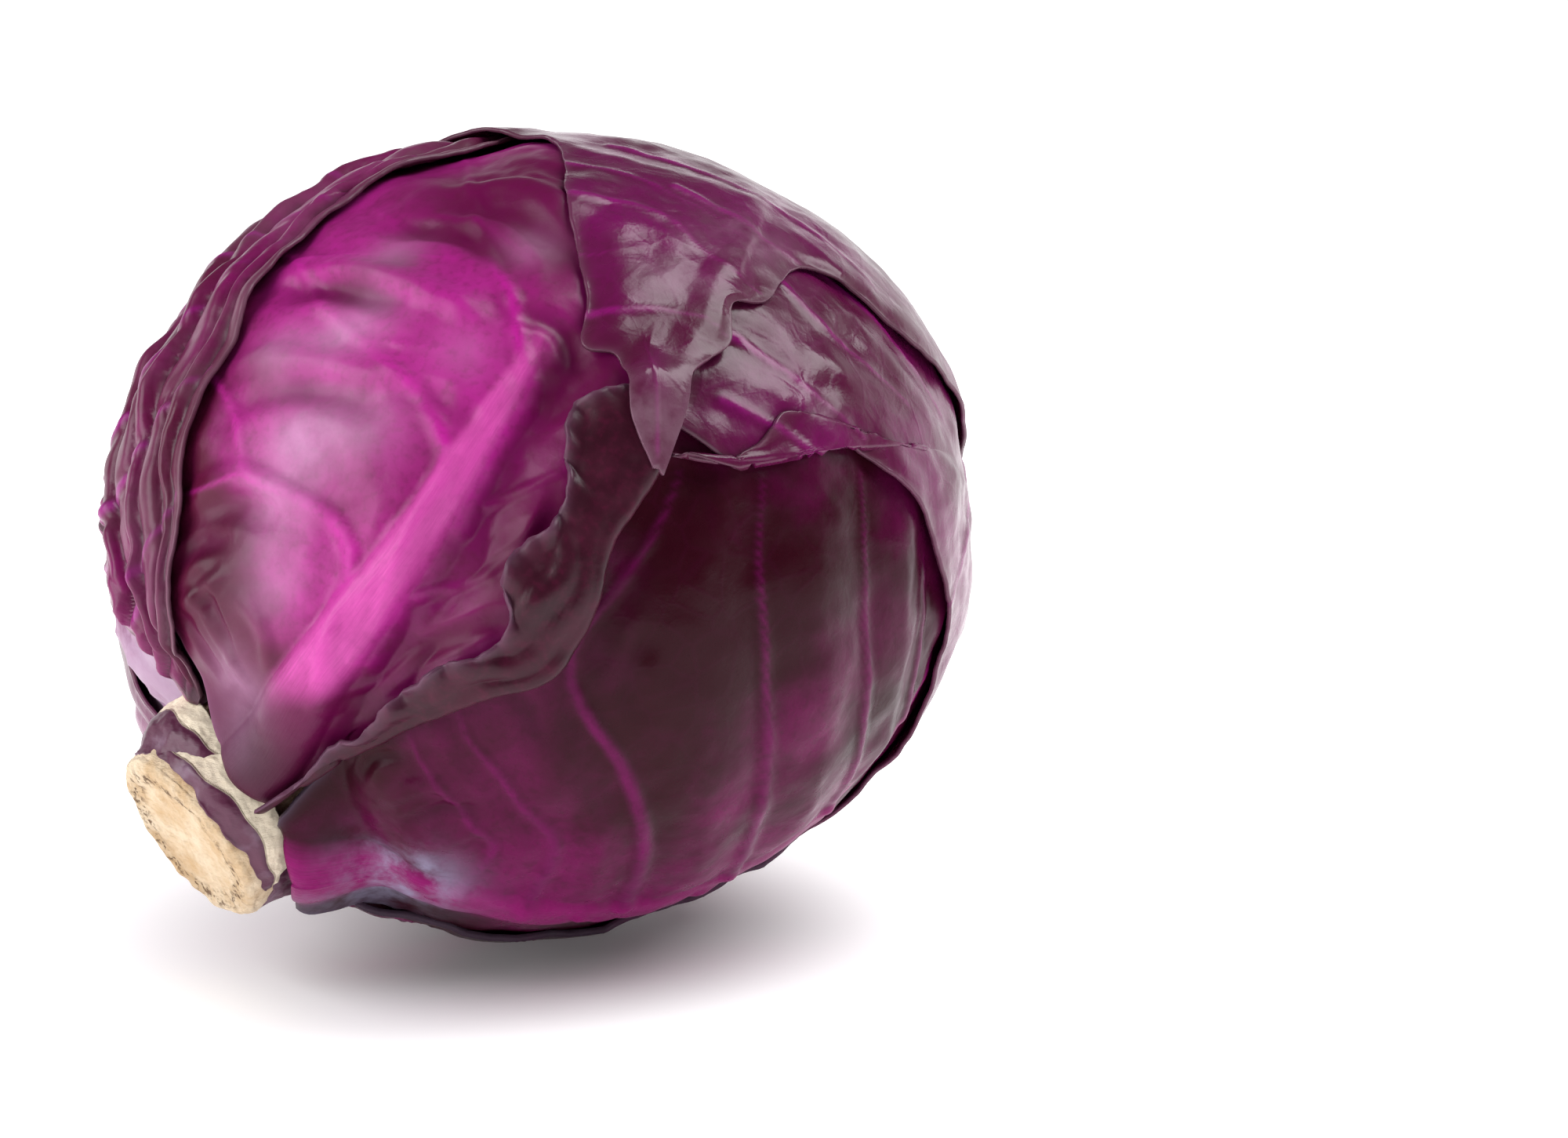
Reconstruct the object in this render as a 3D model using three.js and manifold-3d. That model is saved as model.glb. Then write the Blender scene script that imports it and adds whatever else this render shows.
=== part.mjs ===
// A whole head of red cabbage, lying on its side: the trimmed stalk, the tight heart,
// the wrapper leaves that close over it, and the stubs of the leaves that were cut away.
// Millimetres, +Z up. The origin is on the resting surface under the middle of the head.
// +X runs from the stalk end towards the crown, and the stalk points down towards the surface.
import * as THREE from "three";
import { mergeVertices } from "three/addons/utils/BufferGeometryUtils.js";
import Module from "manifold-3d";

const wasm = await Module();
wasm.setup();

// ---- Driving sizes -------------------------------------------------------------------
const HEART_LENGTH = 173; // the tight inner head, along its long axis
const HEART_WIDTH = 154;
const HEART_HEIGHT = 149;
const HEART_PITCH = 6; // degrees: how far the long axis tips down at the stalk end
const STALK_PITCH = 30; // degrees: how far the stalk points below the horizontal
const DIMPLE_DEPTH = 7; // the hollow that the leaf bases make around the stalk
const DIMPLE_INNER_ANGLE = 12; // degrees from the stalk, where the hollow is deepest
const DIMPLE_OUTER_ANGLE = 34; // degrees from the stalk, where the hollow ends
const PRESSED_SKIN = 0.6; // what is left of the underside leaf where the head's weight presses it flat

const STALK_RADIUS = 18.2;
const STALK_STANDS_OUT = 20.5; // from the bottom of the hollow to the cut face
const STALK_RIM_ROUND = 1.6; // the worn edge of the cut face
const STALK_OVAL = 0.06; // how far the cut is from round, as a share of its radius
const SOCKET_DEPTH = 5; // how far the stalk is let into the heart

const LEAF_THICKNESS = 1.2;
const UNDERSIDE_LEAF_THICKNESS = 2.2; // the coarse lowest leaf, thick enough to hold the flat spot
const LEAF_BASE_GAP = 0.58; // clearance between the leaves' own bases and the stalk
const LEAF_GAP = 0.45; // clearance between one leaf and what it lies on
const FIT_GAP = 0.35; // clearance of the stalk in its socket and of the stubs on the stalk
const RIB_WIDTH_AT_BASE = 10; // half the width of a leaf's main rib where it leaves the stalk
const RIB_WIDTH_AT_TIP = 2.5;

const STUB_THICKNESS = 2.4;

const LEAF_ROWS = 20; // mesh rows from the base of a leaf to its tip
const LEAF_COLUMNS = 14; // mesh columns across a leaf
const SAMPLES_PER_CELL = 3; // how finely a leaf feels for what lies under it
const DRAPE_ROUNDS = 10; // smoothing rounds that pull a leaf taut over what is under it

// ---- Colours and finishes -------------------------------------------------------------
const leafFinish = (color, roughness) => new THREE.MeshStandardMaterial({ color, roughness, metalness: 0 });
const OUTER_LEAF = leafFinish("#7a2a60", 0.42);
const FRONT_LEAF = leafFinish("#b03f98", 0.4);
const DARK_LEAF = leafFinish("#4f1f3c", 0.38);
const HEART_LEAF = leafFinish("#6b2560", 0.45);
const STALK_WOOD = leafFinish("#c4a47c", 0.85);
const STUB_SKIN = leafFinish("#6a3f58", 0.55);

// ---- Directions on the head -----------------------------------------------------------
const radians = THREE.MathUtils.degToRad;
const smooth = (low, high, x) => THREE.MathUtils.smoothstep(x, low, high);
const stalkWay = new THREE.Vector3(-Math.cos(radians(STALK_PITCH)), 0, -Math.sin(radians(STALK_PITCH)));
const topWay = new THREE.Vector3(-Math.sin(radians(STALK_PITCH)), 0, Math.cos(radians(STALK_PITCH)));
const frontWay = new THREE.Vector3(0, -1, 0);

// A place on the head: degrees away from the stalk (180 is the crown), and degrees round it,
// counted from the top (0) by the front (90), the underside (180) and the back (270).
function headWay([fromStalk, around]) {
  const away = radians(fromStalk);
  const turn = radians(around);
  return new THREE.Vector3()
    .addScaledVector(stalkWay, Math.cos(away))
    .addScaledVector(topWay, Math.sin(away) * Math.cos(turn))
    .addScaledVector(frontWay, Math.sin(away) * Math.sin(turn));
}

const heartHalf = new THREE.Vector3(HEART_LENGTH / 2, HEART_WIDTH / 2, HEART_HEIGHT / 2);
const levelAxis = new THREE.Vector3(0, 1, 0);

// The distance from the head's middle to the heart's surface: a smooth oval, dimpled at the stalk.
function heartRadius(way) {
  const turned = way.clone().applyAxisAngle(levelAxis, radians(HEART_PITCH)).divide(heartHalf);
  const fromStalk = THREE.MathUtils.radToDeg(way.angleTo(stalkWay));
  const dimple = 1 - smooth(DIMPLE_INNER_ANGLE, DIMPLE_OUTER_ANGLE, fromStalk);
  return 1 / turned.length() - DIMPLE_DEPTH * dimple;
}

// A leaf's places start LEAF_START degrees from the stalk. That start moves with the stalk's width and the
// heart's size, so that every leaf's base keeps its gap to the stalk; places further out stay as they are.
const LEAF_START = 17;
const leafStart = THREE.MathUtils.radToDeg(
  Math.asin((STALK_RADIUS * (1 + 1.25 * STALK_OVAL) + LEAF_BASE_GAP) / heartRadius(headWay([LEAF_START, 90]))),
);
function leafWay([fromStalk, around]) {
  const share = 1 - smooth(LEAF_START, 3 * LEAF_START, fromStalk);
  return headWay([fromStalk + (leafStart - LEAF_START) * share, around]);
}

// The distance along way to a level plane that lies drop below the head's middle.
const planeRadius = (way, drop) => (way.z < 0 ? drop / -way.z : Infinity);

// ---- Closed meshes --------------------------------------------------------------------
// A closed shell between an outer and an inner grid of points that share rows and columns.
function shellGeometry(outer, inner) {
  const rows = outer.length;
  const columns = outer[0].length;
  const positions = [...outer.flat(), ...inner.flat()].flatMap((p) => p.toArray());
  const at = (layer, i, j) => layer * rows * columns + i * columns + j;
  const faces = [];
  const quad = (a, b, c, d) => faces.push(a, b, c, a, c, d);
  for (let i = 0; i < rows - 1; i++) {
    for (let j = 0; j < columns - 1; j++) {
      quad(at(0, i, j), at(0, i + 1, j), at(0, i + 1, j + 1), at(0, i, j + 1));
      quad(at(1, i, j), at(1, i, j + 1), at(1, i + 1, j + 1), at(1, i + 1, j));
    }
  }
  for (let i = 0; i < rows - 1; i++) {
    quad(at(0, i, 0), at(1, i, 0), at(1, i + 1, 0), at(0, i + 1, 0));
    quad(at(0, i, columns - 1), at(0, i + 1, columns - 1), at(1, i + 1, columns - 1), at(1, i, columns - 1));
  }
  for (let j = 0; j < columns - 1; j++) {
    quad(at(0, 0, j), at(0, 0, j + 1), at(1, 0, j + 1), at(1, 0, j));
    quad(at(0, rows - 1, j), at(1, rows - 1, j), at(1, rows - 1, j + 1), at(0, rows - 1, j + 1));
  }
  const geometry = new THREE.BufferGeometry();
  geometry.setAttribute("position", new THREE.Float32BufferAttribute(positions, 3));
  geometry.setIndex(faces);
  return facingOut(geometry);
}

// The same geometry with its faces turned to point outwards.
function facingOut(geometry) {
  if (solidOf(geometry).volume() < 0) {
    const corners = geometry.index.array;
    for (let i = 0; i < corners.length; i += 3) {
      [corners[i + 1], corners[i + 2]] = [corners[i + 2], corners[i + 1]];
    }
  }
  geometry.computeVertexNormals();
  return geometry;
}

function solidOf(geometry) {
  const bare = geometry.clone();
  bare.deleteAttribute("normal");
  bare.deleteAttribute("uv");
  const merged = mergeVertices(bare, 1e-3);
  return new wasm.Manifold(
    new wasm.Mesh({
      numProp: 3,
      vertProperties: merged.attributes.position.array,
      triVerts: new Uint32Array(merged.index.array),
    }),
  );
}

function geometryOf(solid) {
  const cut = solid.getMesh();
  const geometry = new THREE.BufferGeometry();
  geometry.setAttribute("position", new THREE.BufferAttribute(cut.vertProperties, 3));
  geometry.setIndex(new THREE.BufferAttribute(cut.triVerts, 1));
  geometry.computeVertexNormals();
  return geometry;
}

const head = new THREE.Group();
function addPiece(name, geometry, material) {
  const mesh = new THREE.Mesh(geometry, material);
  mesh.name = name;
  head.add(mesh);
  return mesh;
}

// ---- The stalk ------------------------------------------------------------------------
const stalkFoot = heartRadius(stalkWay) - SOCKET_DEPTH; // where the stalk starts, from the head's middle
const stalkReach = heartRadius(stalkWay) + STALK_STANDS_OUT; // where the cut face is, from the head's middle
const stalkTurn = new THREE.Quaternion().setFromUnitVectors(new THREE.Vector3(0, 1, 0), stalkWay);

// The stalk's own radius at an angle around it: a slightly oval, knobbly cut stem.
function stalkRadius(angle) {
  return STALK_RADIUS * (1 + STALK_OVAL * Math.cos(2 * angle) + 0.25 * STALK_OVAL * Math.cos(5 * angle));
}

// A point beside the stalk's axis: how far out along it, the angle around it, and the radius.
function besideStalk(along, angle, radius) {
  return headWay([90, 0])
    .multiplyScalar(radius * Math.cos(angle))
    .addScaledVector(frontWay, radius * Math.sin(angle))
    .addScaledVector(stalkWay, along);
}

// Turns a lathe about its own axis into the stalk's oval outline, grown by gap.
function stalkGeometry(profile, gap) {
  const geometry = new THREE.LatheGeometry(profile, 48);
  const positions = geometry.attributes.position;
  const point = new THREE.Vector3();
  for (let i = 0; i < positions.count; i++) {
    point.fromBufferAttribute(positions, i);
    const angle = Math.atan2(point.z, point.x);
    const share = Math.hypot(point.x, point.z) / STALK_RADIUS;
    point.copy(besideStalk(point.y, angle, share * stalkRadius(angle) + (share > 0.5 ? gap : 0)));
    positions.setXYZ(i, point.x, point.y, point.z);
  }
  return facingOut(mergedPositions(geometry));
}

function mergedPositions(geometry) {
  geometry.deleteAttribute("normal");
  geometry.deleteAttribute("uv");
  return mergeVertices(geometry, 1e-3);
}

function makeStalk() {
  const profile = [
    [0, stalkFoot],
    [STALK_RADIUS, stalkFoot],
    [STALK_RADIUS, stalkReach - STALK_RIM_ROUND],
    [STALK_RADIUS - 0.3 * STALK_RIM_ROUND, stalkReach - 0.3 * STALK_RIM_ROUND],
    [STALK_RADIUS - STALK_RIM_ROUND, stalkReach],
    [0, stalkReach],
  ].map(([x, y]) => new THREE.Vector2(x, y));
  return addPiece("stalk_stump", stalkGeometry(profile, 0), STALK_WOOD);
}

// ---- The heart ------------------------------------------------------------------------
function makeHeart() {
  const ball = mergedPositions(new THREE.IcosahedronGeometry(1, 9));
  const positions = ball.attributes.position;
  const way = new THREE.Vector3();
  for (let i = 0; i < positions.count; i++) {
    way.fromBufferAttribute(positions, i).normalize();
    way.multiplyScalar(heartRadius(way));
    positions.setXYZ(i, way.x, way.y, way.z);
  }
  const socket = [
    [0, stalkFoot - FIT_GAP],
    [STALK_RADIUS, stalkFoot - FIT_GAP],
    [STALK_RADIUS, stalkReach + STALK_RADIUS],
    [0, stalkReach + STALK_RADIUS],
  ].map(([x, y]) => new THREE.Vector2(x, y));
  const cut = solidOf(facingOut(ball)).subtract(solidOf(stalkGeometry(socket, FIT_GAP)));
  return addPiece("heart", geometryOf(cut), HEART_LEAF);
}

// ---- Leaves ---------------------------------------------------------------------------
// The outermost surface met coming straight in along way, as a distance from the head's middle.
const feeler = new THREE.Raycaster();
function surfaceUnder(way, pieces) {
  feeler.set(way.clone().multiplyScalar(HEART_LENGTH), way.clone().negate());
  const hits = feeler.intersectObjects(pieces, false);
  return hits.length ? HEART_LENGTH - hits[0].distance : heartRadius(way);
}

// A smooth line over the head through a leaf's places.
function lineOver(places) {
  const curve = new THREE.CatmullRomCurve3(places.map(leafWay), false, "centripetal");
  curve.arcLengthDivisions = 400;
  return (share) => curve.getPointAt(share).normalize();
}

// The way that lies a share of the arc from one way to another.
function between(from, to, share) {
  const angle = from.angleTo(to);
  if (angle < 1e-6) return from.clone();
  return from
    .clone()
    .multiplyScalar(Math.sin((1 - share) * angle))
    .addScaledVector(to, Math.sin(share * angle))
    .normalize();
}

// The ways of a leaf's grid. Rows go from base to tip and columns from the left margin to the right one.
// Columns crowd towards the rib, where the leaf's section changes fastest.
function leafGrid(leaf, rows, columns) {
  const rib = lineOver(leaf.rib);
  const left = lineOver(leaf.left);
  const right = lineOver(leaf.right);
  return Array.from({ length: rows + 1 }, (_, i) => {
    const along = i / rows;
    return Array.from({ length: columns + 1 }, (_, j) => {
      const across = (2 * j) / columns - 1;
      const margin = across < 0 ? left(along) : right(along);
      return between(rib(along), margin, Math.abs(across) ** 1.4);
    });
  });
}

// How far the flat facets around a grid point cut inside the round surface through their corners.
function facetSag(ways, i, j) {
  const corners = [-1, 1].flatMap((di) => [-1, 1].map((dj) => ways[i + di]?.[j + dj])).filter(Boolean);
  return 1 - Math.cos(Math.max(...corners.map((way) => way.angleTo(ways[i][j]))) / 2);
}

// The height of each grid point that clears what lies under the leaf, pulled taut like a sheet.
function drape(leaf, ways, under) {
  const rows = LEAF_ROWS;
  const columns = LEAF_COLUMNS;
  const n = SAMPLES_PER_CELL;
  const felt = leafGrid(leaf, rows * n, columns * n).map((row) => row.map((way) => surfaceUnder(way, under)));
  const highest = (i, j) => {
    let top = 0;
    for (let a = Math.max(0, (i - 1) * n); a <= Math.min(rows * n, (i + 1) * n); a++) {
      for (let b = Math.max(0, (j - 1) * n); b <= Math.min(columns * n, (j + 1) * n); b++) {
        top = Math.max(top, felt[a][b]);
      }
    }
    return top;
  };
  const least = ways.map((row, i) => row.map((_, j) => highest(i, j) * (1 + facetSag(ways, i, j))));
  let height = least.map((row) => [...row]);
  for (let round = 0; round < DRAPE_ROUNDS; round++) {
    height = height.map((row, i) =>
      row.map((_, j) => {
        const up = height[Math.max(i - 1, 0)][j];
        const down = height[Math.min(i + 1, rows)][j];
        const before = row[Math.max(j - 1, 0)];
        const after = row[Math.min(j + 1, columns)];
        return Math.max(least[i][j], (up + down + before + after) / 4);
      }),
    );
  }
  return height;
}

// How much thicker a leaf is at a grid point than its blade: the rib, and a rolled or folded margin.
function extraThickness(leaf, i, j, way, ribWay, reach) {
  const along = i / LEAF_ROWS;
  const halfWidth = THREE.MathUtils.lerp(RIB_WIDTH_AT_BASE, RIB_WIDTH_AT_TIP, along);
  const fromRib = way.angleTo(ribWay) * reach;
  const ribShape = Math.max(0, 1 - (fromRib / halfWidth) ** 2);
  const rib = leaf.ribHeight * (1 - along) * ribShape;
  const across = (2 * j) / LEAF_COLUMNS - 1;
  const rollShape = smooth(leaf.rollFrom ?? 1, 1, across) * smooth(0, 0.15, along) * (1 - smooth(0.6, 0.8, along));
  return rib + (leaf.rollHeight ?? 0) * rollShape;
}

function makeLeaf(leaf, under) {
  const ways = leafGrid(leaf, LEAF_ROWS, LEAF_COLUMNS);
  const ribWay = lineOver(leaf.rib);
  const reach = drape(leaf, ways, under).map((row) => row.map((height) => height + LEAF_GAP));
  const lowest = Math.max(...ways.flatMap((row, i) => row.map((way, j) => -way.z * reach[i][j])));
  const inner = ways.map((row, i) => row.map((way, j) => way.clone().multiplyScalar(reach[i][j])));
  const outer = ways.map((row, i) =>
    row.map((way, j) => {
      const extra = extraThickness(leaf, i, j, way, ribWay(i / LEAF_ROWS), reach[i][j]);
      const free = reach[i][j] + (leaf.thickness ?? LEAF_THICKNESS) + extra;
      const pressed = leaf.rests ? planeRadius(way, lowest + PRESSED_SKIN) : Infinity;
      return way.clone().multiplyScalar(Math.min(free, pressed));
    }),
  );
  return addPiece(leaf.name, shellGeometry(outer, inner), leaf.material);
}

// From the innermost wrapper leaf to the outermost. Each line starts at the stalk.
const LEAVES = [
  {
    name: "leaf_lower_front",
    material: DARK_LEAF,
    ribHeight: 3,
    rib: [[17, 98], [31, 114], [44, 124], [60, 130], [75, 131], [95, 127], [118, 118], [140, 105]],
    left: [[17, 84], [30, 62], [50, 46], [75, 42], [100, 52], [125, 70], [142, 92]],
    right: [[17, 114], [31, 138], [50, 156], [75, 166], [100, 162], [125, 145], [142, 120]],
  },
  {
    name: "leaf_lower_back",
    material: DARK_LEAF,
    ribHeight: 3.5,
    rib: [[17, 238], [45, 246], [75, 250], [105, 254], [132, 262]],
    left: [[17, 222], [45, 206], [75, 200], [105, 208], [135, 246]],
    right: [[17, 254], [45, 285], [75, 298], [105, 300], [135, 276]],
  },
  {
    name: "leaf_upper_back",
    material: OUTER_LEAF,
    ribHeight: 3.5,
    rib: [[17, 302], [40, 296], [70, 290], [100, 284], [128, 280]],
    left: [[17, 284], [40, 266], [70, 258], [100, 256], [130, 268]],
    right: [[17, 330], [40, 345], [70, 345], [100, 335], [130, 300]],
  },
  {
    name: "leaf_crown_side",
    material: OUTER_LEAF,
    ribHeight: 3,
    rib: [[17, 216], [50, 222], [90, 218], [125, 202], [150, 165], [140, 110], [112, 80], [93, 70]],
    left: [[17, 201], [50, 184], [80, 168], [103, 142], [104, 112], [98, 88], [91, 76], [88, 68]],
    right: [[17, 226], [50, 236], [90, 242], [125, 250], [155, 285], [155, 10], [125, 45], [104, 56], [92, 62]],
  },
  {
    name: "leaf_underside",
    material: DARK_LEAF,
    thickness: UNDERSIDE_LEAF_THICKNESS,
    ribHeight: 0,
    rests: true,
    rib: [[17, 178], [45, 184], [75, 190], [105, 196], [130, 204]],
    left: [[17, 150], [32, 141], [50, 146], [75, 150], [105, 158], [130, 190]],
    right: [[17, 196], [45, 222], [75, 236], [105, 238], [130, 218]],
  },
  {
    name: "leaf_front",
    material: FRONT_LEAF,
    ribHeight: 5,
    rollFrom: 0.72,
    rollHeight: 2.5,
    rib: [[17, 61], [26, 57], [48, 53], [70, 49], [90, 45], [115, 38], [138, 28]],
    left: [[17, 42], [30, 5], [50, -16], [75, -22], [100, -22], [125, -15], [142, 14]],
    right: [[17, 74], [27, 67], [38, 70], [48, 73], [57, 75], [64, 73], [73, 67], [84, 62], [96, 53], [120, 46], [140, 38]],
  },
  {
    name: "leaf_top",
    material: OUTER_LEAF,
    ribHeight: 3.5,
    rollFrom: 0.6,
    rollHeight: 2,
    rib: [[17, 350], [30, 340], [50, 325], [75, 311], [105, 302], [130, 300]],
    left: [[17, 335], [28, 320], [40, 300], [60, 280], [90, 264], [120, 264], [133, 284]],
    right: [[17, 366], [25, 378], [32, 374], [44, 368], [60, 363], [81, 359], [96, 357], [112, 357], [128, 345], [134, 318]],
  },
  {
    name: "leaf_over_crown",
    material: OUTER_LEAF,
    ribHeight: 4,
    rib: [[17, 268], [45, 272], [80, 278], [110, 290], [138, 308], [158, 0], [135, 36], [110, 51], [90, 61]],
    left: [[17, 254], [40, 241], [70, 233], [100, 227], [125, 212], [144, 180], [150, 125], [139, 78], [130, 57], [111, 54], [97, 58], [86, 65]],
    right: [[17, 282], [40, 299], [70, 311], [95, 321], [111, 338], [121, 3], [107, 25], [94, 41], [90, 50], [84, 63]],
  },
];

// ---- Stubs of cut leaves --------------------------------------------------------------
// Each hugs the stalk between two angles and two distances back from the cut face.
const STUBS = [
  { name: "leaf_stub_top", from: -28, to: 62, low: 7.5, high: 3.5 },
  { name: "leaf_stub_front", from: 66, to: 128, low: 7, high: 2 },
  { name: "leaf_stub_low", from: 132, to: 196, low: 7.5, high: 3 },
  { name: "leaf_stub_back", from: 204, to: 300, low: 7, high: 2.5 },
];

function makeStub(stub) {
  const steps = 12;
  const rings = 4;
  const outer = [];
  const inner = [];
  for (let i = 0; i <= steps; i++) {
    const around = i / steps;
    const angle = radians(THREE.MathUtils.lerp(stub.from, stub.to, around));
    const body = 0.35 + 0.65 * Math.sin(Math.PI * around); // thin at both ends
    const point = (out, along) => besideStalk(along, angle, stalkRadius(angle) + FIT_GAP + out);
    const ring = (thickness) =>
      Array.from({ length: rings + 1 }, (_, j) => {
        const lip = stalkReach - THREE.MathUtils.lerp(stub.low, stub.low + (stub.high - stub.low) * body, j / rings);
        return point(thickness * (1 - 0.5 * (j / rings) ** 2), lip);
      });
    outer.push(ring(STUB_THICKNESS * body));
    inner.push(ring(0));
  }
  return addPiece(stub.name, shellGeometry(outer, inner), STUB_SKIN);
}

// ---- Assembly -------------------------------------------------------------------------
const laid = [makeHeart()];
makeStalk();
for (const leaf of LEAVES) laid.push(makeLeaf(leaf, laid));
STUBS.forEach(makeStub);

// The origin goes to the resting surface, under the middle of the head's own box.
head.updateMatrixWorld(true);
const extent = new THREE.Box3().setFromObject(head);
const middle = extent.getCenter(new THREE.Vector3());
head.position.set(-middle.x, -middle.y, -extent.min.z);

export default head;
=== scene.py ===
"""A whole head of red cabbage lying on its side: its stalk, heart, wrapper leaves and leaf stubs."""

import math

import bpy
import numpy as np
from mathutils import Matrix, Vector
from mathutils.bvhtree import BVHTree
from mathutils.noise import fractal


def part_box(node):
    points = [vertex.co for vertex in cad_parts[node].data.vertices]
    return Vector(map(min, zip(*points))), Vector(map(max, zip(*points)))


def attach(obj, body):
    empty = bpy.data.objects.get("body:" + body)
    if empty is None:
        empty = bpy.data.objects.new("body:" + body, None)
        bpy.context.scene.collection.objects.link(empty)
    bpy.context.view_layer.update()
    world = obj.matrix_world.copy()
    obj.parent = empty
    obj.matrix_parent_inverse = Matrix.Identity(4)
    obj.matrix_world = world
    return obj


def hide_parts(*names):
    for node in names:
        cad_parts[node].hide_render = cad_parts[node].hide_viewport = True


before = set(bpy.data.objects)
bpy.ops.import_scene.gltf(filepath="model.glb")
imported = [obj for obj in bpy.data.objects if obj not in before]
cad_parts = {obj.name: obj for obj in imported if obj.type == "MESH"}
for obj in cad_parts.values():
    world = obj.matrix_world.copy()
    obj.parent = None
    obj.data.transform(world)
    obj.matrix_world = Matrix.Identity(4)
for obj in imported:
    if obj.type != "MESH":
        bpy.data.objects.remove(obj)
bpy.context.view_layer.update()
COARSE = 1.0
MM = 0.001

# ---- The head's own directions -----------------------------------------------------------
heart_low, heart_high = (np.array(corner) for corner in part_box("heart"))
MIDDLE = (heart_low + heart_high) / 2
HALF_SIZES = np.array((93.5, 85.0, 82.5)) * MM  # of the whole head: along, across and up
HEAD_PITCH = math.radians(6)
STALK_PITCH = math.radians(30)
STALK_WAY = np.array((-math.cos(STALK_PITCH), 0, -math.sin(STALK_PITCH)))
TOP_WAY = np.array((-math.sin(STALK_PITCH), 0, math.cos(STALK_PITCH)))
FRONT_WAY = np.array((0.0, -1.0, 0.0))
STALK_REACH = 98.5 * MM  # from the middle of the head to the cut face
STALK_RADIUS = 18.4 * MM
STALK_ROOT = 60 * MM  # from the middle to the stump's buried end
HOLLOW_DEPTH = 5 * MM  # of the hollow round the stalk
HEART_DEPTH = 8.5 * MM  # from the head's outside to the heart
LEAF_THICKNESS = 0.8  # millimetres
STUB_THICKNESS = 1.2 * MM
OUTSIDE = 0.14  # from the middle: well clear of every leaf
LAYER_GAP = 0.5 * MM  # between a leaf and what it lies on
LEAST_GAP = 0.4 * MM
BARE_DEPTH = 8 * MM  # how far in a leaf may sink where no other leaf lies under it
HUG = 0.8  # how closely a margin follows what it lies on
HUG_WIDTH = 5.0  # millimetres
HEAD_RADIUS = 85  # millimetres, near enough for widths on the head
PLEAT_WIDTH = 6.0  # millimetres, of the pleats in the turned-back strip
SIDE_VEINS = 7  # on each side of a leaf that names none


def unit(vectors):
    return vectors / np.linalg.norm(vectors, axis=-1, keepdims=True)


def head_ways(places):
    """Unit vectors for places given as degrees away from the stalk and degrees round it from the top."""
    away, turn = np.radians(np.asarray(places, float)).T
    side = np.cos(turn)[:, None] * TOP_WAY + np.sin(turn)[:, None] * FRONT_WAY
    return np.cos(away)[:, None] * STALK_WAY + np.sin(away)[:, None] * side


def smooth_step(low, high, x):
    share = np.clip((x - low) / (high - low), 0, 1)
    return share * share * (3 - 2 * share)


def head_radius(ways):
    """Distance from the middle to the head's overall shape, hollowed a little around the stalk."""
    cos, sin = math.cos(HEAD_PITCH), math.sin(HEAD_PITCH)
    level = ways @ np.array(((cos, 0, -sin), (0, 1, 0), (sin, 0, cos)))
    oval = 1 / np.linalg.norm(level / HALF_SIZES, axis=-1)
    away = np.degrees(np.arccos(np.clip(ways @ STALK_WAY, -1, 1)))
    return oval - HOLLOW_DEPTH * (1 - smooth_step(13, 33, away))


def smooth_line(places, count):
    """Evenly spaced unit vectors along a smooth line through the places."""
    knots = head_ways(places)
    steps = np.sqrt(np.linalg.norm(np.diff(knots, axis=0), axis=1))
    at = np.concatenate(([0], np.cumsum(steps)))
    slopes = np.gradient(knots, at, axis=0)
    fine = np.linspace(0, at[-1], 600)
    k = np.clip(np.searchsorted(at, fine, side="right") - 1, 0, len(at) - 2)
    gap = (at[k + 1] - at[k])[:, None]
    u = ((fine - at[k])[:, None]) / gap
    line = (
        (2 * u**3 - 3 * u**2 + 1) * knots[k]
        + (u**3 - 2 * u**2 + u) * gap * slopes[k]
        + (3 * u**2 - 2 * u**3) * knots[k + 1]
        + (u**3 - u**2) * gap * slopes[k + 1]
    )
    run = np.concatenate(([0], np.cumsum(np.linalg.norm(np.diff(line, axis=0), axis=1))))
    wanted = np.linspace(0, run[-1], count)
    return unit(np.stack([np.interp(wanted, run, line[:, axis]) for axis in range(3)], 1))


def part_way(start, end, share):
    """Unit vectors part of the way round from start to end; a share over 1 runs past the end."""
    angle = np.arccos(np.clip(np.sum(start * end, -1, keepdims=True), -1, 1))
    angle = np.maximum(angle, 1e-6)
    share = share[..., None]
    return unit(np.sin((1 - share) * angle) * start + np.sin(share * angle) * end)


def ripple(x, seed, wavelengths=(37.0, 17.0, 9.0), falloff=0.6):
    """A smooth random wave along x, about -1 to 1."""
    rng = np.random.default_rng(seed)
    total = np.zeros_like(x, dtype=float)
    size = 1.0
    for wavelength in wavelengths:
        total += size * np.sin(2 * math.pi * x / wavelength + rng.uniform(0, 2 * math.pi))
        size *= falloff
    return total / 1.6


def lumps(points_mm, size, seed, octaves=2):
    """Smooth random lumps in space, about -1 to 1, that are size millimetres across."""
    shift = Vector((seed * 7.31, seed * 3.17, seed * 5.73))
    flat = (points_mm.reshape(-1, 3) / size).tolist()
    values = [fractal(Vector(point) + shift, 1.0, 2.0, octaves) for point in flat]
    return np.array(values).reshape(points_mm.shape[:-1]) * 1.6


# ---- Leaf sheets --------------------------------------------------------------------------
def line_distance(points, line):
    """Each point's distance to a broken line and the share of the line's length it lies beside."""
    best = np.full(points.shape[:-1], np.inf)
    share = np.zeros(points.shape[:-1])
    for index, (start, end) in enumerate(zip(line[:-1], line[1:])):
        run = end - start
        t = np.clip(((points - start) @ run) / (run @ run), 0, 1)
        distance = np.linalg.norm(points - start - t[..., None] * run, axis=-1)
        nearer = distance < best
        best = np.where(nearer, distance, best)
        share = np.where(nearer, (index + t) / (len(line) - 1), share)
    return best, share


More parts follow.
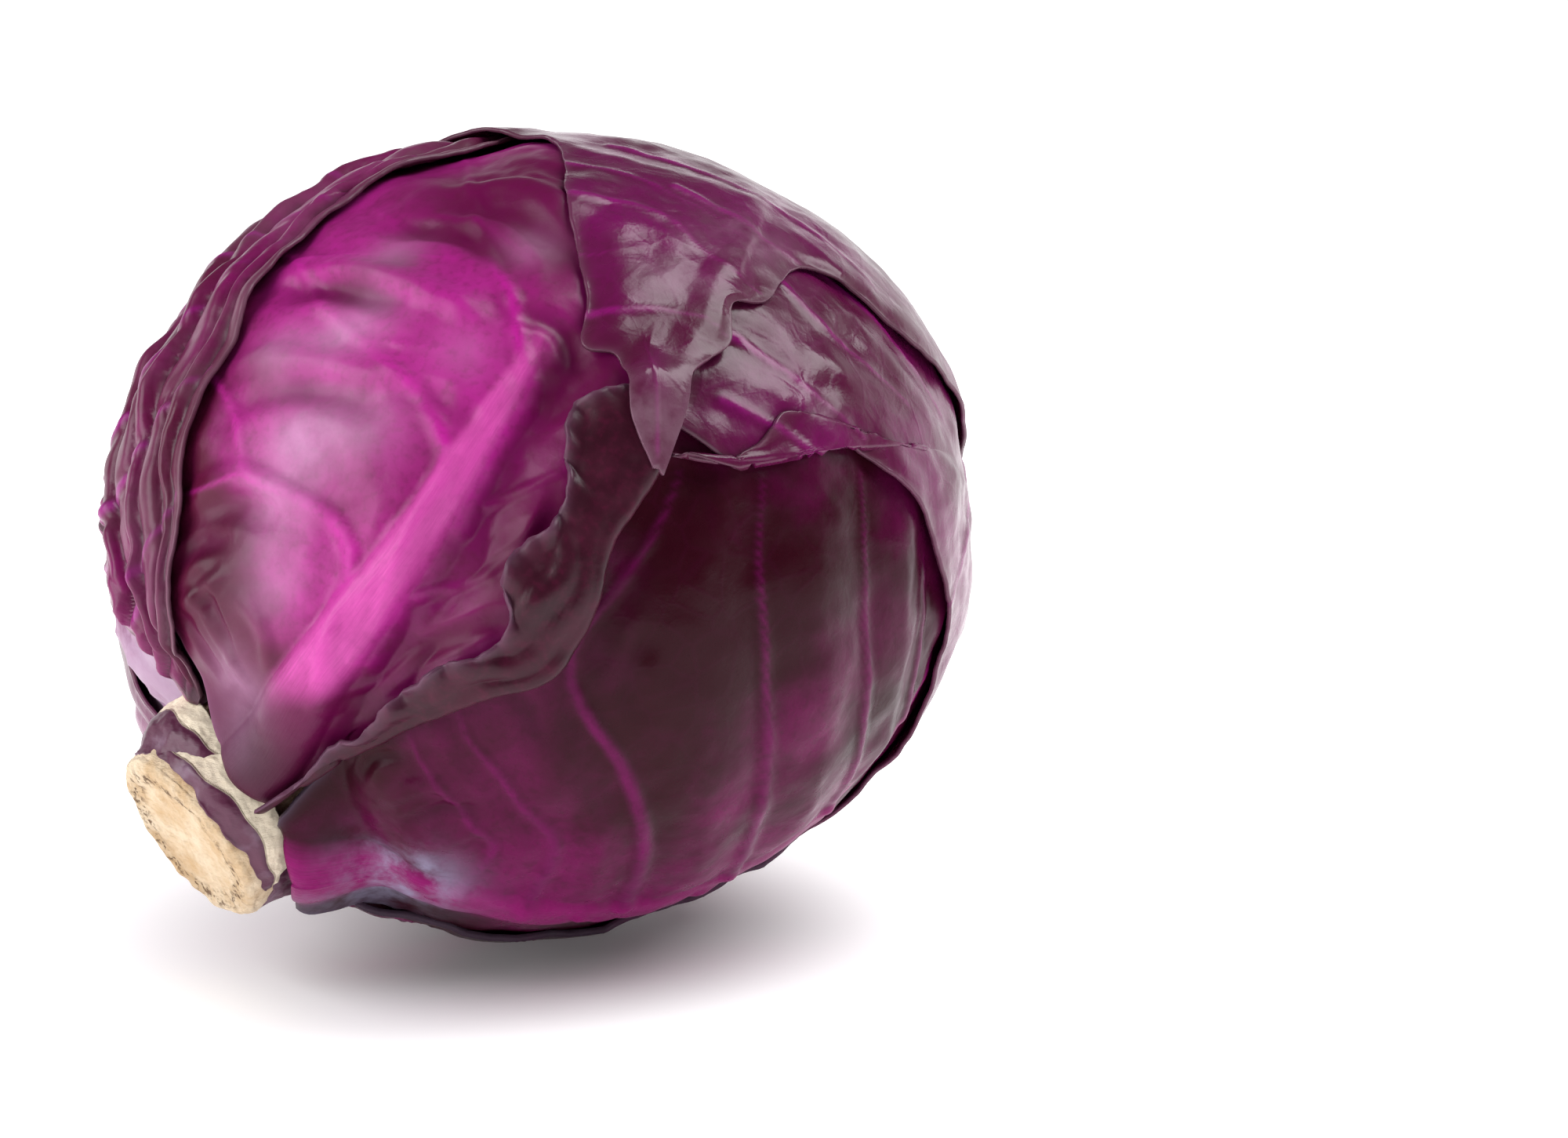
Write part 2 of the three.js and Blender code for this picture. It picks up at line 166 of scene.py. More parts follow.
def blurred(field, reach):
    """The field averaged over a square of reach cells each way."""
    for axis in (0, 1):
        before, after = (np.repeat(np.take(field, [end], axis), reach, axis) for end in (0, -1))
        padded = np.concatenate([before, field, after], axis)
        total = np.cumsum(padded, axis)
        zero = np.zeros_like(np.take(total, [0], axis))
        total = np.concatenate([zero, total], axis)
        n = field.shape[axis]
        window = 2 * reach + 1
        field = (np.take(total, range(window, window + n), axis) - np.take(total, range(n), axis)) / window
    return field


def leaf_grid(leaf, spacing):
    """The leaf's grid: ways, and each point's place along, across and from the margins, in millimetres."""
    coarse = {name: smooth_line(leaf[name], 60) for name in ("rib", "left", "right")}
    radius = float(np.mean(head_radius(coarse["rib"]))) / MM
    length = radius * np.sum(np.arccos(np.clip(np.sum(coarse["rib"][1:] * coarse["rib"][:-1], 1), -1, 1)))
    half_widths = {
        side: radius * np.arccos(np.clip(np.sum(coarse["rib"] * coarse[side], 1), -1, 1))
        for side in ("left", "right")
    }
    widest = float(np.percentile(half_widths["left"] + half_widths["right"], 85))
    rows = max(24, int(length / spacing))
    columns = max(16, int(widest / spacing / 2) * 2)
    lines = {name: smooth_line(leaf[name], rows + 1) for name in ("rib", "left", "right")}
    along = np.linspace(0, 1, rows + 1)[:, None] * np.ones(columns + 1)
    across = np.ones((rows + 1, 1)) * np.linspace(-1, 1, columns + 1)
    rib = lines["rib"][:, None, :] * np.ones((1, columns + 1, 1))
    margin = np.where((across < 0)[..., None], lines["left"][:, None, :], lines["right"][:, None, :])
    half_width = radius * np.arccos(np.clip(np.sum(rib * margin, -1), -1, 1))
    run = along * length + np.where(across < 0, 500, 0)  # far apart, so that the two margins differ
    jag = leaf.get("jag", 0.6) * ripple(run, leaf["seed"], (41.0, 17.0, 7.3, 3.1), 0.55)
    reach = 1 + jag / np.maximum(half_width, 8)
    ways = part_way(rib, margin, np.abs(across) * reach)
    return {
        "ways": ways,
        "along": along,
        "across": across,
        "along_mm": along * length,
        "rib_mm": across * half_width * reach,
        "edge_mm": np.minimum((1 - np.abs(across)) * half_width, (1 - along) * length),
        "side_mm": (1 - np.abs(across)) * half_width,
        "length": length,
        "cell_mm": spacing,
    }


laid_points = []
laid_faces = []


def lay_down(points):
    """Adds a sheet's outer surface to what later leaves lie on."""
    rows, columns = points.shape[:2]
    first = len(laid_points)
    laid_points.extend(points.reshape(-1, 3).tolist())
    for i in range(rows - 1):
        row = first + i * columns
        laid_faces.extend(
            (row + j, row + j + 1, row + columns + j + 1, row + columns + j) for j in range(columns - 1)
        )


def surface_under(ways):
    """How far out from the middle what is already laid reaches, along each way."""
    if not laid_faces:
        return np.zeros(ways.shape[:-1])
    tree = BVHTree.FromPolygons(laid_points, laid_faces)
    middle = Vector(MIDDLE)
    reach = np.zeros(ways.shape[:-1])
    for index in np.ndindex(reach.shape):
        way = Vector(ways[index])
        hit = tree.ray_cast(middle + way * OUTSIDE, -way, OUTSIDE)
        if hit[0] is not None:
            reach[index] = OUTSIDE - hit[3]
    return reach


def raised_to_neighbours(reach):
    """Each value raised to the highest beside it, so that nothing pokes through between two points."""
    padded = np.pad(reach, 1, mode="edge")
    rows, columns = reach.shape
    return np.max([padded[i : i + rows, j : j + columns] for i in range(3) for j in range(3)], axis=0)


def evened_across(reach, across_mm, width_mm):
    """Each row raised to its highest within width_mm, then averaged over as much.

    It goes by millimetres, so a narrow tongue is evened as much as a broad blade.
    """
    cell = np.maximum(0.1, np.abs(np.diff(across_mm, axis=1)).mean(1))
    cells = np.clip(np.round(width_mm / cell), 1, 24)
    widest = int(cells.max())
    places = np.arange(reach.shape[1])
    steps = []
    for shift in range(-widest, widest + 1):
        if shift:
            steps.append(((cells >= abs(shift))[:, None], np.clip(places + shift, 0, places[-1])))
    highest = reach
    for near, beside in steps:
        highest = np.where(near, np.maximum(highest, reach[:, beside]), highest)
    total = highest
    for near, beside in steps:
        total = total + near * highest[:, beside]
    return total / (1 + sum(near.astype(int) for near, _ in steps))


def draped(under, height, cell_mm):
    """The height over the head's middle, lifted softly where something lies under the sheet."""
    lift = np.maximum(0, under + LAYER_GAP - height)
    need = lift
    reach = max(1, round(2.0 / cell_mm))
    for _ in range(4):
        lift = np.maximum(need, blurred(lift, reach))
    return height + lift


def ridge(distance, width):
    """A rounded ridge: 1 on its line, 0 at width from it."""
    return np.clip(1 - (distance / width) ** 2, 0, 1) ** 1.5


def rib_relief(leaf, grid):
    """The main rib's height over the blade and its closeness, for the colour."""
    along = grid["along"]
    end = leaf.get("rib_end", 0.9)
    at_base, at_tip = leaf.get("rib_width", (8, 2))
    width = at_base + (at_tip - at_base) * np.minimum(1, along / end)
    height = leaf.get("rib_height", 3) * (1 - smooth_step(0.0, end, along)) ** 0.8
    offset = np.abs(grid["rib_mm"]) / width
    body = np.clip(1 - offset**2.4, 0, 1) ** 0.9
    skirt = 0.25 * np.exp(-((offset / 1.7) ** 2))
    closeness = np.clip(1.15 - offset, 0, 1) ** 0.7 * (1 - smooth_step(0.75, 1.0, along / end))
    return height * np.maximum(body, skirt), closeness


def side_veins(leaf, grid):
    """Regular side veins for a leaf that names none: they leave the rib and sweep forward to the margin."""
    veins = []
    rng = np.random.default_rng(leaf["seed"])
    ways = grid["ways"]
    rows, columns = ways.shape[0] - 1, ways.shape[1] - 1
    for side in (-1, 1):
        for k in range(SIDE_VEINS):
            start = 0.04 + 0.8 * (k + 0.5 * (side > 0)) / SIDE_VEINS + rng.uniform(-0.02, 0.02)
            sweep = rng.uniform(0.1, 0.2)
            line = []
            for step in np.linspace(0.03, 0.97, 12):
                i = min(rows, int((start + sweep * step**1.6) * rows))
                j = int((0.5 + 0.5 * side * step) * columns)
                line.append(ways[i, j])
            veins.append((np.array(line), rng.uniform(0.8, 1.1)))
    return veins


def vein_relief(leaf, grid, points_mm):
    """Height of the side veins and the swelling of the blade between them, and the veins' closeness."""
    veins = [(smooth_line(places, 24), size) for places, size in leaf.get("veins", ())]
    if not veins:
        veins = side_veins(leaf, grid)
    height = np.zeros(points_mm.shape[:-1])
    closeness = np.zeros_like(height)
    nearest = np.abs(grid["rib_mm"]) * 0.8
    for line, size in veins:
        on_head = line * (head_radius(line) / MM)[:, None]
        distance, share = line_distance(points_mm, on_head)
        fade = 1 - 0.75 * share
        width = leaf.get("vein_width", 2.2) * size * (0.25 + 0.75 * fade)
        height = np.maximum(height, leaf.get("vein_height", 0.8) * size * fade * ridge(distance, width))
        close = np.exp(-((distance / (width * 0.62)) ** 2))
        closeness = np.maximum(closeness, fade**0.6 * close * min(1, size))
        nearest = np.minimum(nearest, distance)
    swell = leaf.get("swell", 1.2) * (1 - np.exp(-((nearest / 9.5) ** 2)))
    return height + swell, closeness


def crease_relief(leaf, points_mm):
    """Sharp listed wrinkles: each is a line with a height (negative for a dent) and a width."""
    height = np.zeros(points_mm.shape[:-1])
    for places, size, width in leaf.get("creases", ()):
        line = smooth_line(places, 20)
        distance, share = line_distance(points_mm, line * (head_radius(line) / MM)[:, None])
        ends = np.sin(math.pi * np.clip(share, 0.02, 0.98)) ** 0.6
        height += size * ends * ridge(distance, width)
    return height


def zone_strength(zones, ways):
    """Soft round zones on a leaf: each is a place, a radius in degrees and a strength."""
    total = np.zeros(ways.shape[:-1])
    for place, radius, strength in zones:
        angle = np.degrees(np.arccos(np.clip(ways @ head_ways([place])[0], -1, 1)))
        total += strength * np.exp(-((angle / radius) ** 2))
    return total


def no_relief(grid):
    return np.zeros_like(grid["along"])


def laid_over(leaf, grid, relief):
    """How far out the sheet lies: its own height and relief, settled softly on what is under it."""
    ways = grid["ways"]
    neck = leaf.get("neck", 0) * (1 - smooth_step(0.0, leaf.get("neck_end", 0.1), grid["along"])) ** 1.5
    own = head_radius(ways) + (leaf["lift"] + neck) * MM
    met = surface_under(ways)
    settled = np.where(met > 0, met, head_radius(ways) - BARE_DEPTH)
    for _ in range(3):
        settled = raised_to_neighbours(settled)
    settled = evened_across(settled, grid["rib_mm"], leaf.get("evened", 1.0))
    settled = np.maximum(blurred(settled, 2), met)
    loose = draped(settled, own, grid["cell_mm"])
    hug = HUG * np.exp(-((grid["side_mm"] / HUG_WIDTH) ** 2)) * (met > 0)
    loose = loose + hug * (settled + LAYER_GAP - loose)
    return np.maximum(loose + relief * MM, settled + LEAST_GAP)


def shape_leaf(leaf):
    """The leaf's outer surface as a grid of points, and what its colour depends on at each of them."""
    grid = leaf_grid(leaf, leaf.get("spacing", 1.3) * COARSE)
    ways = grid["ways"]
    points_mm = ways * (head_radius(ways) / MM)[..., None]
    rib, rib_closeness = rib_relief(leaf, grid)
    veins, vein_closeness = vein_relief(leaf, grid, points_mm)
    wrinkles = leaf.get("wrinkle", 0.5) * lumps(points_mm, 16.0, leaf["seed"], 3)
    wave = 1 + 0.5 * ripple(grid["along_mm"], leaf["seed"] + 2, (29.0, 12.3, 5.1))
    margin_curl = leaf.get("curl", 0.8) * np.exp(-grid["side_mm"] / 2.5) * wave
    creases = crease_relief(leaf, points_mm)
    relief = rib + veins + wrinkles + margin_curl + creases
    if "extra" in leaf:
        relief = relief + leaf["extra"](grid)
    points = MIDDLE + ways * laid_over(leaf, grid, relief)[..., None]
    # Painted shade: the colour darkens along the dents the creases press in, where shade falls.
    painted_crease_shade = 0.55 * np.clip(-creases / 1.8, 0, 1)
    if "flap" in leaf:
        points, grid = with_flap(leaf, grid, points)
        added = ((0, 0), (0, points.shape[1] - painted_crease_shade.shape[1]))
        painted_crease_shade, vein_closeness, rib_closeness = (
            np.pad(field, added) for field in (painted_crease_shade, vein_closeness, rib_closeness)
        )
    points[..., 2] = np.maximum(points[..., 2], 0)
    outward = unit(points - MIDDLE)

    def with_zones(name, start):
        """A starting share with the leaf's own zones of that name added."""
        return np.clip(start + zone_strength(leaf.get(name + "_zones", ()), outward), 0, 1)

    colour = {
        "vein": vein_closeness,
        "rib": rib_closeness,
        "edge": np.exp(-grid["edge_mm"] / 5.0),
        # rim: a thin strip along the margin that gets a painted highlight.
        "rim": np.exp(-grid["edge_mm"] / 0.9),
        "vivid": with_zones("vivid", leaf.get("vivid", 0.5)),
        "bloom_and_sheen": with_zones("bloom_and_sheen", leaf.get("bloom_and_sheen", 0.0)),
        "deep_and_shade": with_zones("deep_and_shade", leaf.get("deep_and_shade", no_relief)(grid) + painted_crease_shade),
        "turned": with_zones("dull", grid.get("turned", 0)),
    }
    return points, grid, colour


def grid_faces(rows, columns):
    """Corner numbers of each square in a grid of points."""
    return [
        (i * columns + j, i * columns + j + 1, (i + 1) * columns + j + 1, (i + 1) * columns + j)
        for i in range(rows - 1)
        for j in range(columns - 1)
    ]


def flap_over_blade(points, fold, ways_out, free, jag, columns):
    """Ways from the fold to the free edge, and how far out the blade lies along each."""
    tree = BVHTree.FromPolygons(points.reshape(-1, 3).tolist(), grid_faces(*points.shape[:2]))
    middle = Vector(MIDDLE)
    at_fold = np.linalg.norm(fold - MIDDLE, axis=1)
    all_ways, reaches = [], []
    for share in np.linspace(0, 1, columns + 1)[1:]:
        ways = part_way(ways_out, free, share * jag)
        reach = at_fold.copy()
        for i, way in enumerate(ways):
            hit = tree.ray_cast(middle + Vector(way) * OUTSIDE, -Vector(way), OUTSIDE)
            if hit[0] is not None:
                reach[i] = OUTSIDE - hit[3]
        all_ways.append(ways)
        reaches.append(reach)
    return np.stack(all_ways, 1), np.stack(reaches, 1)


def with_flap(leaf, grid, points):
    """Adds the right margin's turned-back strip: round the fold, then back over the blade to its edge."""
    flap, seed = leaf["flap"], leaf["seed"]
    rows = points.shape[0] - 1
    fold = points[:, -1]
    inward = unit(points[:, -6] - fold)
    free = smooth_line(flap["free"], rows + 1)
    along = np.linspace(0, 1, rows + 1)
    length = along * grid["length"]
    ways_out = unit(fold - MIDDLE)
    rounding = (0.1 + flap["rounding"] * (1 - smooth_step(0.6, 0.7, along)))[:, None] * MM
    width = np.linalg.norm(free - ways_out, axis=1) * HEAD_RADIUS
    cell = grid["cell_mm"]
    columns = max(8, int(np.percentile(width, 80) / cell))
    jag = 1 + flap["jag"] * ripple(length, seed + 5, (31.0, 13.0, 5.3, 2.7), 0.5) / np.maximum(width, 3)
    strips = []
    for angle in np.linspace(0, math.pi, 8)[1:]:
        outward = rounding * math.sin(angle)
        up = rounding * (1 - math.cos(angle))
        strips.append(fold - inward * outward + ways_out * up)
    flap_ways, flap_reach = flap_over_blade(points, fold, ways_out, free, jag, columns)
    across_mm = np.linspace(0, 1, columns + 1)[None, 1:] * width[:, None]
    along_mm = np.repeat(length[:, None], columns, 1)
    soft = np.maximum(flap_reach, blurred(flap_reach, max(1, round(3.0 / cell))))
    sway = across_mm + 2.2 * ripple(along_mm, seed + 7, (43.0, 17.0))
    pleats = flap["pleat"] * ridge(np.mod(sway, PLEAT_WIDTH) - PLEAT_WIDTH / 2, 2.6)
    edge_wave = 0.7 + ripple(along_mm, seed + 8, (9.0, 5.0))
    edge_lift = 1.3 * np.exp(-((width[:, None] - across_mm) / 2.5)) * edge_wave
    crumple = 1.0 * lumps(flap_ways * HEAD_RADIUS, 12.0, seed + 9, 2)
    smooth_lobe = smooth_step(0.38, 0.46, along) * (1 - smooth_step(0.66, 0.74, along))
    tightness = 0.25 + 0.75 * (1 - smooth_lobe)[:, None]
    lift = 2 * rounding + ((pleats + crumple) * tightness + edge_lift) * MM * smooth_step(0, 3, across_mm)
    strip = MIDDLE + flap_ways * (soft + lift)[..., None]
    everything = np.concatenate([points, np.stack(strips, 1), strip], 1)
    extra = everything.shape[1] - points.shape[1]
    grown = {}
    for name, field in grid.items():
        if isinstance(field, np.ndarray) and field.shape == points.shape[:2]:
            grown[name] = np.concatenate([field, np.repeat(field[:, -1:], extra, 1)], 1)
        else:
            grown[name] = field
    from_free = np.concatenate([np.full((rows + 1, extra - columns), 99.0), width[:, None] - across_mm], 1)
    grown["edge_mm"][:, -extra:] = np.minimum(from_free, (1 - along[:, None]) * grid["length"])
    grown["edge_mm"][:, :-extra] = np.where(grid["across"] > 0, 30, grid["edge_mm"])
    grown["rib_mm"][:, -columns:] = grid["rib_mm"][:, -1:] + across_mm
    grown["turned"] = np.concatenate([np.zeros(points.shape[:2]), np.ones((rows + 1, extra))], 1)
    grown["turned"][:, points.shape[1] : points.shape[1] + 3] = (0.25, 0.5, 0.75)
    return everything, grown


# ---- Meshes -------------------------------------------------------------------------------
def grid_object(name, points, colour, grid):
    """A primitive grid pushed into the sheet's shape, carrying what the colour depends on."""
    rows, columns = points.shape[:2]
    bpy.ops.object.select_all(action="DESELECT")
    bpy.ops.mesh.primitive_grid_add(x_subdivisions=columns - 1, y_subdivisions=rows - 1, size=1)
    piece = bpy.context.object
    piece.name = name
    piece.data.name = name
    piece.data.vertices.foreach_set("co", points.reshape(-1))
    for key, field in colour.items():
        layer = piece.data.attributes.new(key, "FLOAT", "POINT")
        layer.data.foreach_set("value", np.ascontiguousarray(field, dtype=np.float32).reshape(-1))
    loops = np.zeros(len(piece.data.loops), dtype=np.int32)
    piece.data.loops.foreach_get("vertex_index", loops)
    spread = np.stack([grid["rib_mm"].reshape(-1), grid["along_mm"].reshape(-1)], 1) * 0.01
    piece.data.uv_layers[0].name = "leaf_run"
    piece.data.uv_layers[0].data.foreach_set("uv", spread[loops].astype(np.float32).reshape(-1))
    piece.data.update()
    return piece


def apply_modifier(piece, kind, **settings):
    bpy.ops.object.select_all(action="DESELECT")
    piece.select_set(True)
    bpy.context.view_layer.objects.active = piece
    modifier = piece.modifiers.new(kind.title(), kind)
    for key, value in settings.items():
        setattr(modifier, key, value)
    bpy.ops.object.modifier_apply(modifier=modifier.name)


def finish_piece(piece, material, nodes):
    piece.data.materials.clear()
    piece.data.materials.append(material)
    bpy.ops.object.select_all(action="DESELECT")
    piece.select_set(True)
    bpy.context.view_layer.objects.active = piece
    bpy.ops.object.shade_smooth()
    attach(piece, "root")
    if nodes:
        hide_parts(*nodes)
    return piece


def make_leaf(leaf):
    points, grid, colour = shape_leaf(leaf)
    thickness = leaf.get("thickness", LEAF_THICKNESS) * MM
    turned = grid.get("turned", np.zeros(points.shape[:2]))  # a turned-back strip thickens outwards
    lay_down(points + unit(points - MIDDLE) * (turned * thickness)[..., None])
    piece = grid_object(leaf["name"], points, colour, grid)
    apply_modifier(piece, "SOLIDIFY", thickness=thickness, offset=-1, use_even_offset=False)
    corners = np.empty(len(piece.data.vertices) * 3)
    piece.data.vertices.foreach_get("co", corners)
    corners[2::3] = np.maximum(corners[2::3], 0)  # nothing sinks into the floor
    piece.data.vertices.foreach_set("co", corners)
    piece.data.update()
    return finish_piece(piece, leaf["material"], (leaf["node"],))


# ---- Colours and finishes -------------------------------------------------------------------
def linear(hex_colour):
    """An sRGB hex colour as linear red, green, blue and alpha."""
    parts = [int(hex_colour[i : i + 2], 16) / 255 for i in (1, 3, 5)]
    return tuple(p / 12.92 if p <= 0.04045 else ((p + 0.055) / 1.055) ** 2.4 for p in parts) + (1.0,)


def add_node(tree, kind, inputs=None, **settings):
    """Adds a node, sets its properties, and links or sets each named input."""
    node = tree.nodes.new(kind)
    for key, value in settings.items():
        setattr(node, key, value)
    for key, value in (inputs or {}).items():
        if isinstance(value, bpy.types.NodeSocket):
            tree.links.new(value, node.inputs[key])
        else:
            node.inputs[key].default_value = value
    return node


def blend_colour(tree, share, first, second):
    """The first colour turning into the second as share goes from 0 to 1."""
    return add_node(tree, "ShaderNodeMix", {0: share, 6: first, 7: second}, data_type="RGBA").outputs[2]


def remap(tree, value, low, high, to_low=0.0, to_high=1.0):
    settings = {"Value": value, "From Min": low, "From Max": high, "To Min": to_low, "To Max": to_high}
    return add_node(tree, "ShaderNodeMapRange", settings, interpolation_type="SMOOTHSTEP").outputs[0]


def math_node(tree, operation, first, second=0.0):
    return add_node(tree, "ShaderNodeMath", {0: first, 1: second}, operation=operation).outputs[0]


def reading(tree, name):
    return add_node(tree, "ShaderNodeAttribute", attribute_name=name).outputs["Fac"]


def times(tree, first, second):
    return math_node(tree, "MULTIPLY", first, second)


def plus(tree, first, second):
    return math_node(tree, "ADD", first, second)


def noise(tree, where, scale, detail=3.0, roughness=0.55):
    inputs = {"Vector": where, "Scale": scale, "Detail": detail, "Roughness": roughness}
    return add_node(tree, "ShaderNodeTexNoise", inputs).outputs["Fac"]


def cell_edges(tree, where, scale, width):
    """Lines between cells, 1 on the line and 0 at width from it."""
    inputs = {"Vector": where, "Scale": scale}
    cells = add_node(tree, "ShaderNodeTexVoronoi", inputs, feature="DISTANCE_TO_EDGE")
    return remap(tree, cells.outputs["Distance"], 0.0, width, 1.0, 0.0)


def bumped(tree, shader, height, strength, depth):
    """Gives the surface its fine relief, depth metres deep."""
    inputs = {"Strength": strength, "Distance": depth, "Height": height}
    tree.links.new(add_node(tree, "ShaderNodeBump", inputs).outputs[0], shader.inputs["Normal"])


def new_material(name):
    material = bpy.data.materials.new(name)
    material.use_nodes = True
    tree = material.node_tree
    tree.nodes.clear()
    shader = add_node(tree, "ShaderNodeBsdfPrincipled")
    output = add_node(tree, "ShaderNodeOutputMaterial")
    tree.links.new(shader.outputs[0], output.inputs[0])
    return material, tree, shader


def leaf_material(
    name, *, plum, vivid, deep_and_shade, vein, rib, turned, bloom_and_sheen, roughness, net, shine=0.5, patchy=1.0
):
    """Fresh cabbage leaf: coloured sap seen through a thin waxy skin.

    The eye gets a plum blade that turns vivid where it is thick and sheltered, saturated veins, a paler
    rib, a fine net of small veins, a darker colour that is partly its own and partly painted shade, and a
    greyish waxy film that is wiped off in patches, mixed with painted sheen, painted reflection and a
    painted highlight along the margins.
    """
    material, tree, shader = new_material(name)
    place = add_node(tree, "ShaderNodeTexCoord").outputs["Object"]
    run = add_node(tree, "ShaderNodeUVMap", uv_map="leaf_run").outputs[0]
    cloud = noise(tree, place, 28, 4)
    mottle = noise(tree, place, 160, 3)
    specks = noise(tree, place, 620, 2)
    stretched = add_node(tree, "ShaderNodeMapping", {"Vector": run, "Scale": (260, 14, 1)}).outputs[0]
    fibres = noise(tree, stretched, 1.0, 3, 0.6)
    warp = add_node(tree, "ShaderNodeTexNoise", {"Vector": place, "Scale": 60.0, "Detail": 2.0})
    drift = {0: warp.outputs["Color"], 1: (0.006, 0.006, 0.006)}
    shift = add_node(tree, "ShaderNodeVectorMath", drift, operation="MULTIPLY").outputs[0]
    moved = add_node(tree, "ShaderNodeVectorMath", {0: place, 1: shift}, operation="ADD").outputs[0]
    net_lines = cell_edges(tree, moved, 130.0, 0.10)
    fine_lines = cell_edges(tree, moved, 360.0, 0.12)

    vivid_share = plus(tree, reading(tree, "vivid"), remap(tree, cloud, 0.3, 0.7, -0.28, 0.28))
    dulled = times(tree, reading(tree, "edge"), 0.35)
    vivid_share = math_node(tree, "SUBTRACT", vivid_share, dulled)
    colour = blend_colour(tree, remap(tree, vivid_share, 0.05, 0.95), linear(plum), linear(vivid))
    colour = blend_colour(tree, times(tree, net_lines, 0.28 * net), colour, linear(vein))
    vein_share = times(tree, remap(tree, reading(tree, "vein"), 0.05, 0.9), 0.85)
    colour = blend_colour(tree, vein_share, colour, linear(vein))
    on_rib = remap(tree, reading(tree, "rib"), 0.05, 0.75)
    rib_share = times(tree, on_rib, remap(tree, fibres, 0.3, 0.7, 0.75, 1.0))
    colour = blend_colour(tree, rib_share, colour, linear(rib))
    # The darker colour: partly the leaf's own dark violet and wine, partly painted shade in creases, between
    # folds and beside the front leaf's rib.
    depth = plus(tree, reading(tree, "deep_and_shade"), remap(tree, cloud, 0.3, 0.7, -0.12, 0.12))
    colour = blend_colour(tree, remap(tree, depth, 0.02, 0.95), colour, linear(deep_and_shade))
    colour = blend_colour(tree, reading(tree, "turned"), colour, linear(turned))
    broad_shade = remap(tree, mottle, 0.3, 0.75, 0.0, 0.3)
    shade = plus(tree, broad_shade, remap(tree, specks, 0.45, 0.75, 0.0, 0.25))
    shade = times(tree, shade, remap(tree, reading(tree, "rib"), 0.1, 0.8, 1.0, 0.3))
    colour = blend_colour(tree, shade, colour, linear(plum))
    patches = remap(tree, noise(tree, place, 45, 6, 0.65), 0.38, 0.62, 1 - patchy, 1.0)
    # The pale film: the leaf's own waxy film, with painted sheen and painted reflection where a leaf's zones
    # put them.
    wax_and_sheen = times(tree, reading(tree, "bloom_and_sheen"), patches)
    # Painted highlight: a thin pale line along every margin.
    wax_and_sheen = plus(tree, wax_and_sheen, times(tree, reading(tree, "rim"), 0.12))
    wax_and_sheen = math_node(tree, "MINIMUM", wax_and_sheen, 1.0)
    colour = blend_colour(tree, wax_and_sheen, colour, linear(bloom_and_sheen))
    tree.links.new(colour, shader.inputs["Base Color"])

    uneven = remap(tree, mottle, 0.3, 0.7, roughness - 0.05, roughness + 0.07)
    tree.links.new(plus(tree, times(tree, wax_and_sheen, 0.2), uneven), shader.inputs["Roughness"])
    shader.inputs["Specular IOR Level"].default_value = shine

    height = times(tree, net_lines, 0.5 * net)
    height = plus(tree, height, times(tree, fine_lines, 0.16 * net))
    height = plus(tree, height, times(tree, times(tree, fibres, reading(tree, "rib")), 0.6))
    height = plus(tree, height, times(tree, noise(tree, place, 420, 4), 0.35))
    bumped(tree, shader, height, 0.55, 0.0004)
    return material


FRONT_LEAF = leaf_material(
    "magenta leaf",
    plum="#560e30", vivid="#b0248a", deep_and_shade="#600540", vein="#c01c98", rib="#cc4ca4",
    turned="#300a1a", bloom_and_sheen="#d09cc4", roughness=0.38, net=0.08, shine=0.22, patchy=0.35,
)
OUTER_LEAF = leaf_material(
    "grey-purple leaf",
    plum="#4c0e2e", vivid="#740858", deep_and_shade="#480632", vein="#8c1070", rib="#7c2260",
    turned="#5a3a48", bloom_and_sheen="#a98a9c", roughness=0.25, net=0.2, shine=0.3,
)
FOLDED_LEAF = leaf_material(
    "folded plum leaf",
    plum="#541232", vivid="#8c1068", deep_and_shade="#26020f", vein="#9c1084", rib="#7a1a58",
    turned="#5a3a48", bloom_and_sheen="#a98a9c", roughness=0.32, net=0.1, shine=0.28,
)
DARK_LEAF = leaf_material(
    "dark purple leaf",
    plum="#2e0613", vivid="#70084f", deep_and_shade="#1c0409", vein="#6c0a50", rib="#8a1064",
    turned="#4c2c3a", bloom_and_sheen="#9a98b4", roughness=0.3, net=0.1, shine=0.1,
)
BACK_LEAF = leaf_material(
    "lavender leaf",
    plum="#6a3a58", vivid="#7e4870", deep_and_shade="#4a2038", vein="#8a4478", rib="#8a4c74",
    turned="#5a3a48", bloom_and_sheen="#b096ae", roughness=0.4, net=0.3, shine=0.4,
)


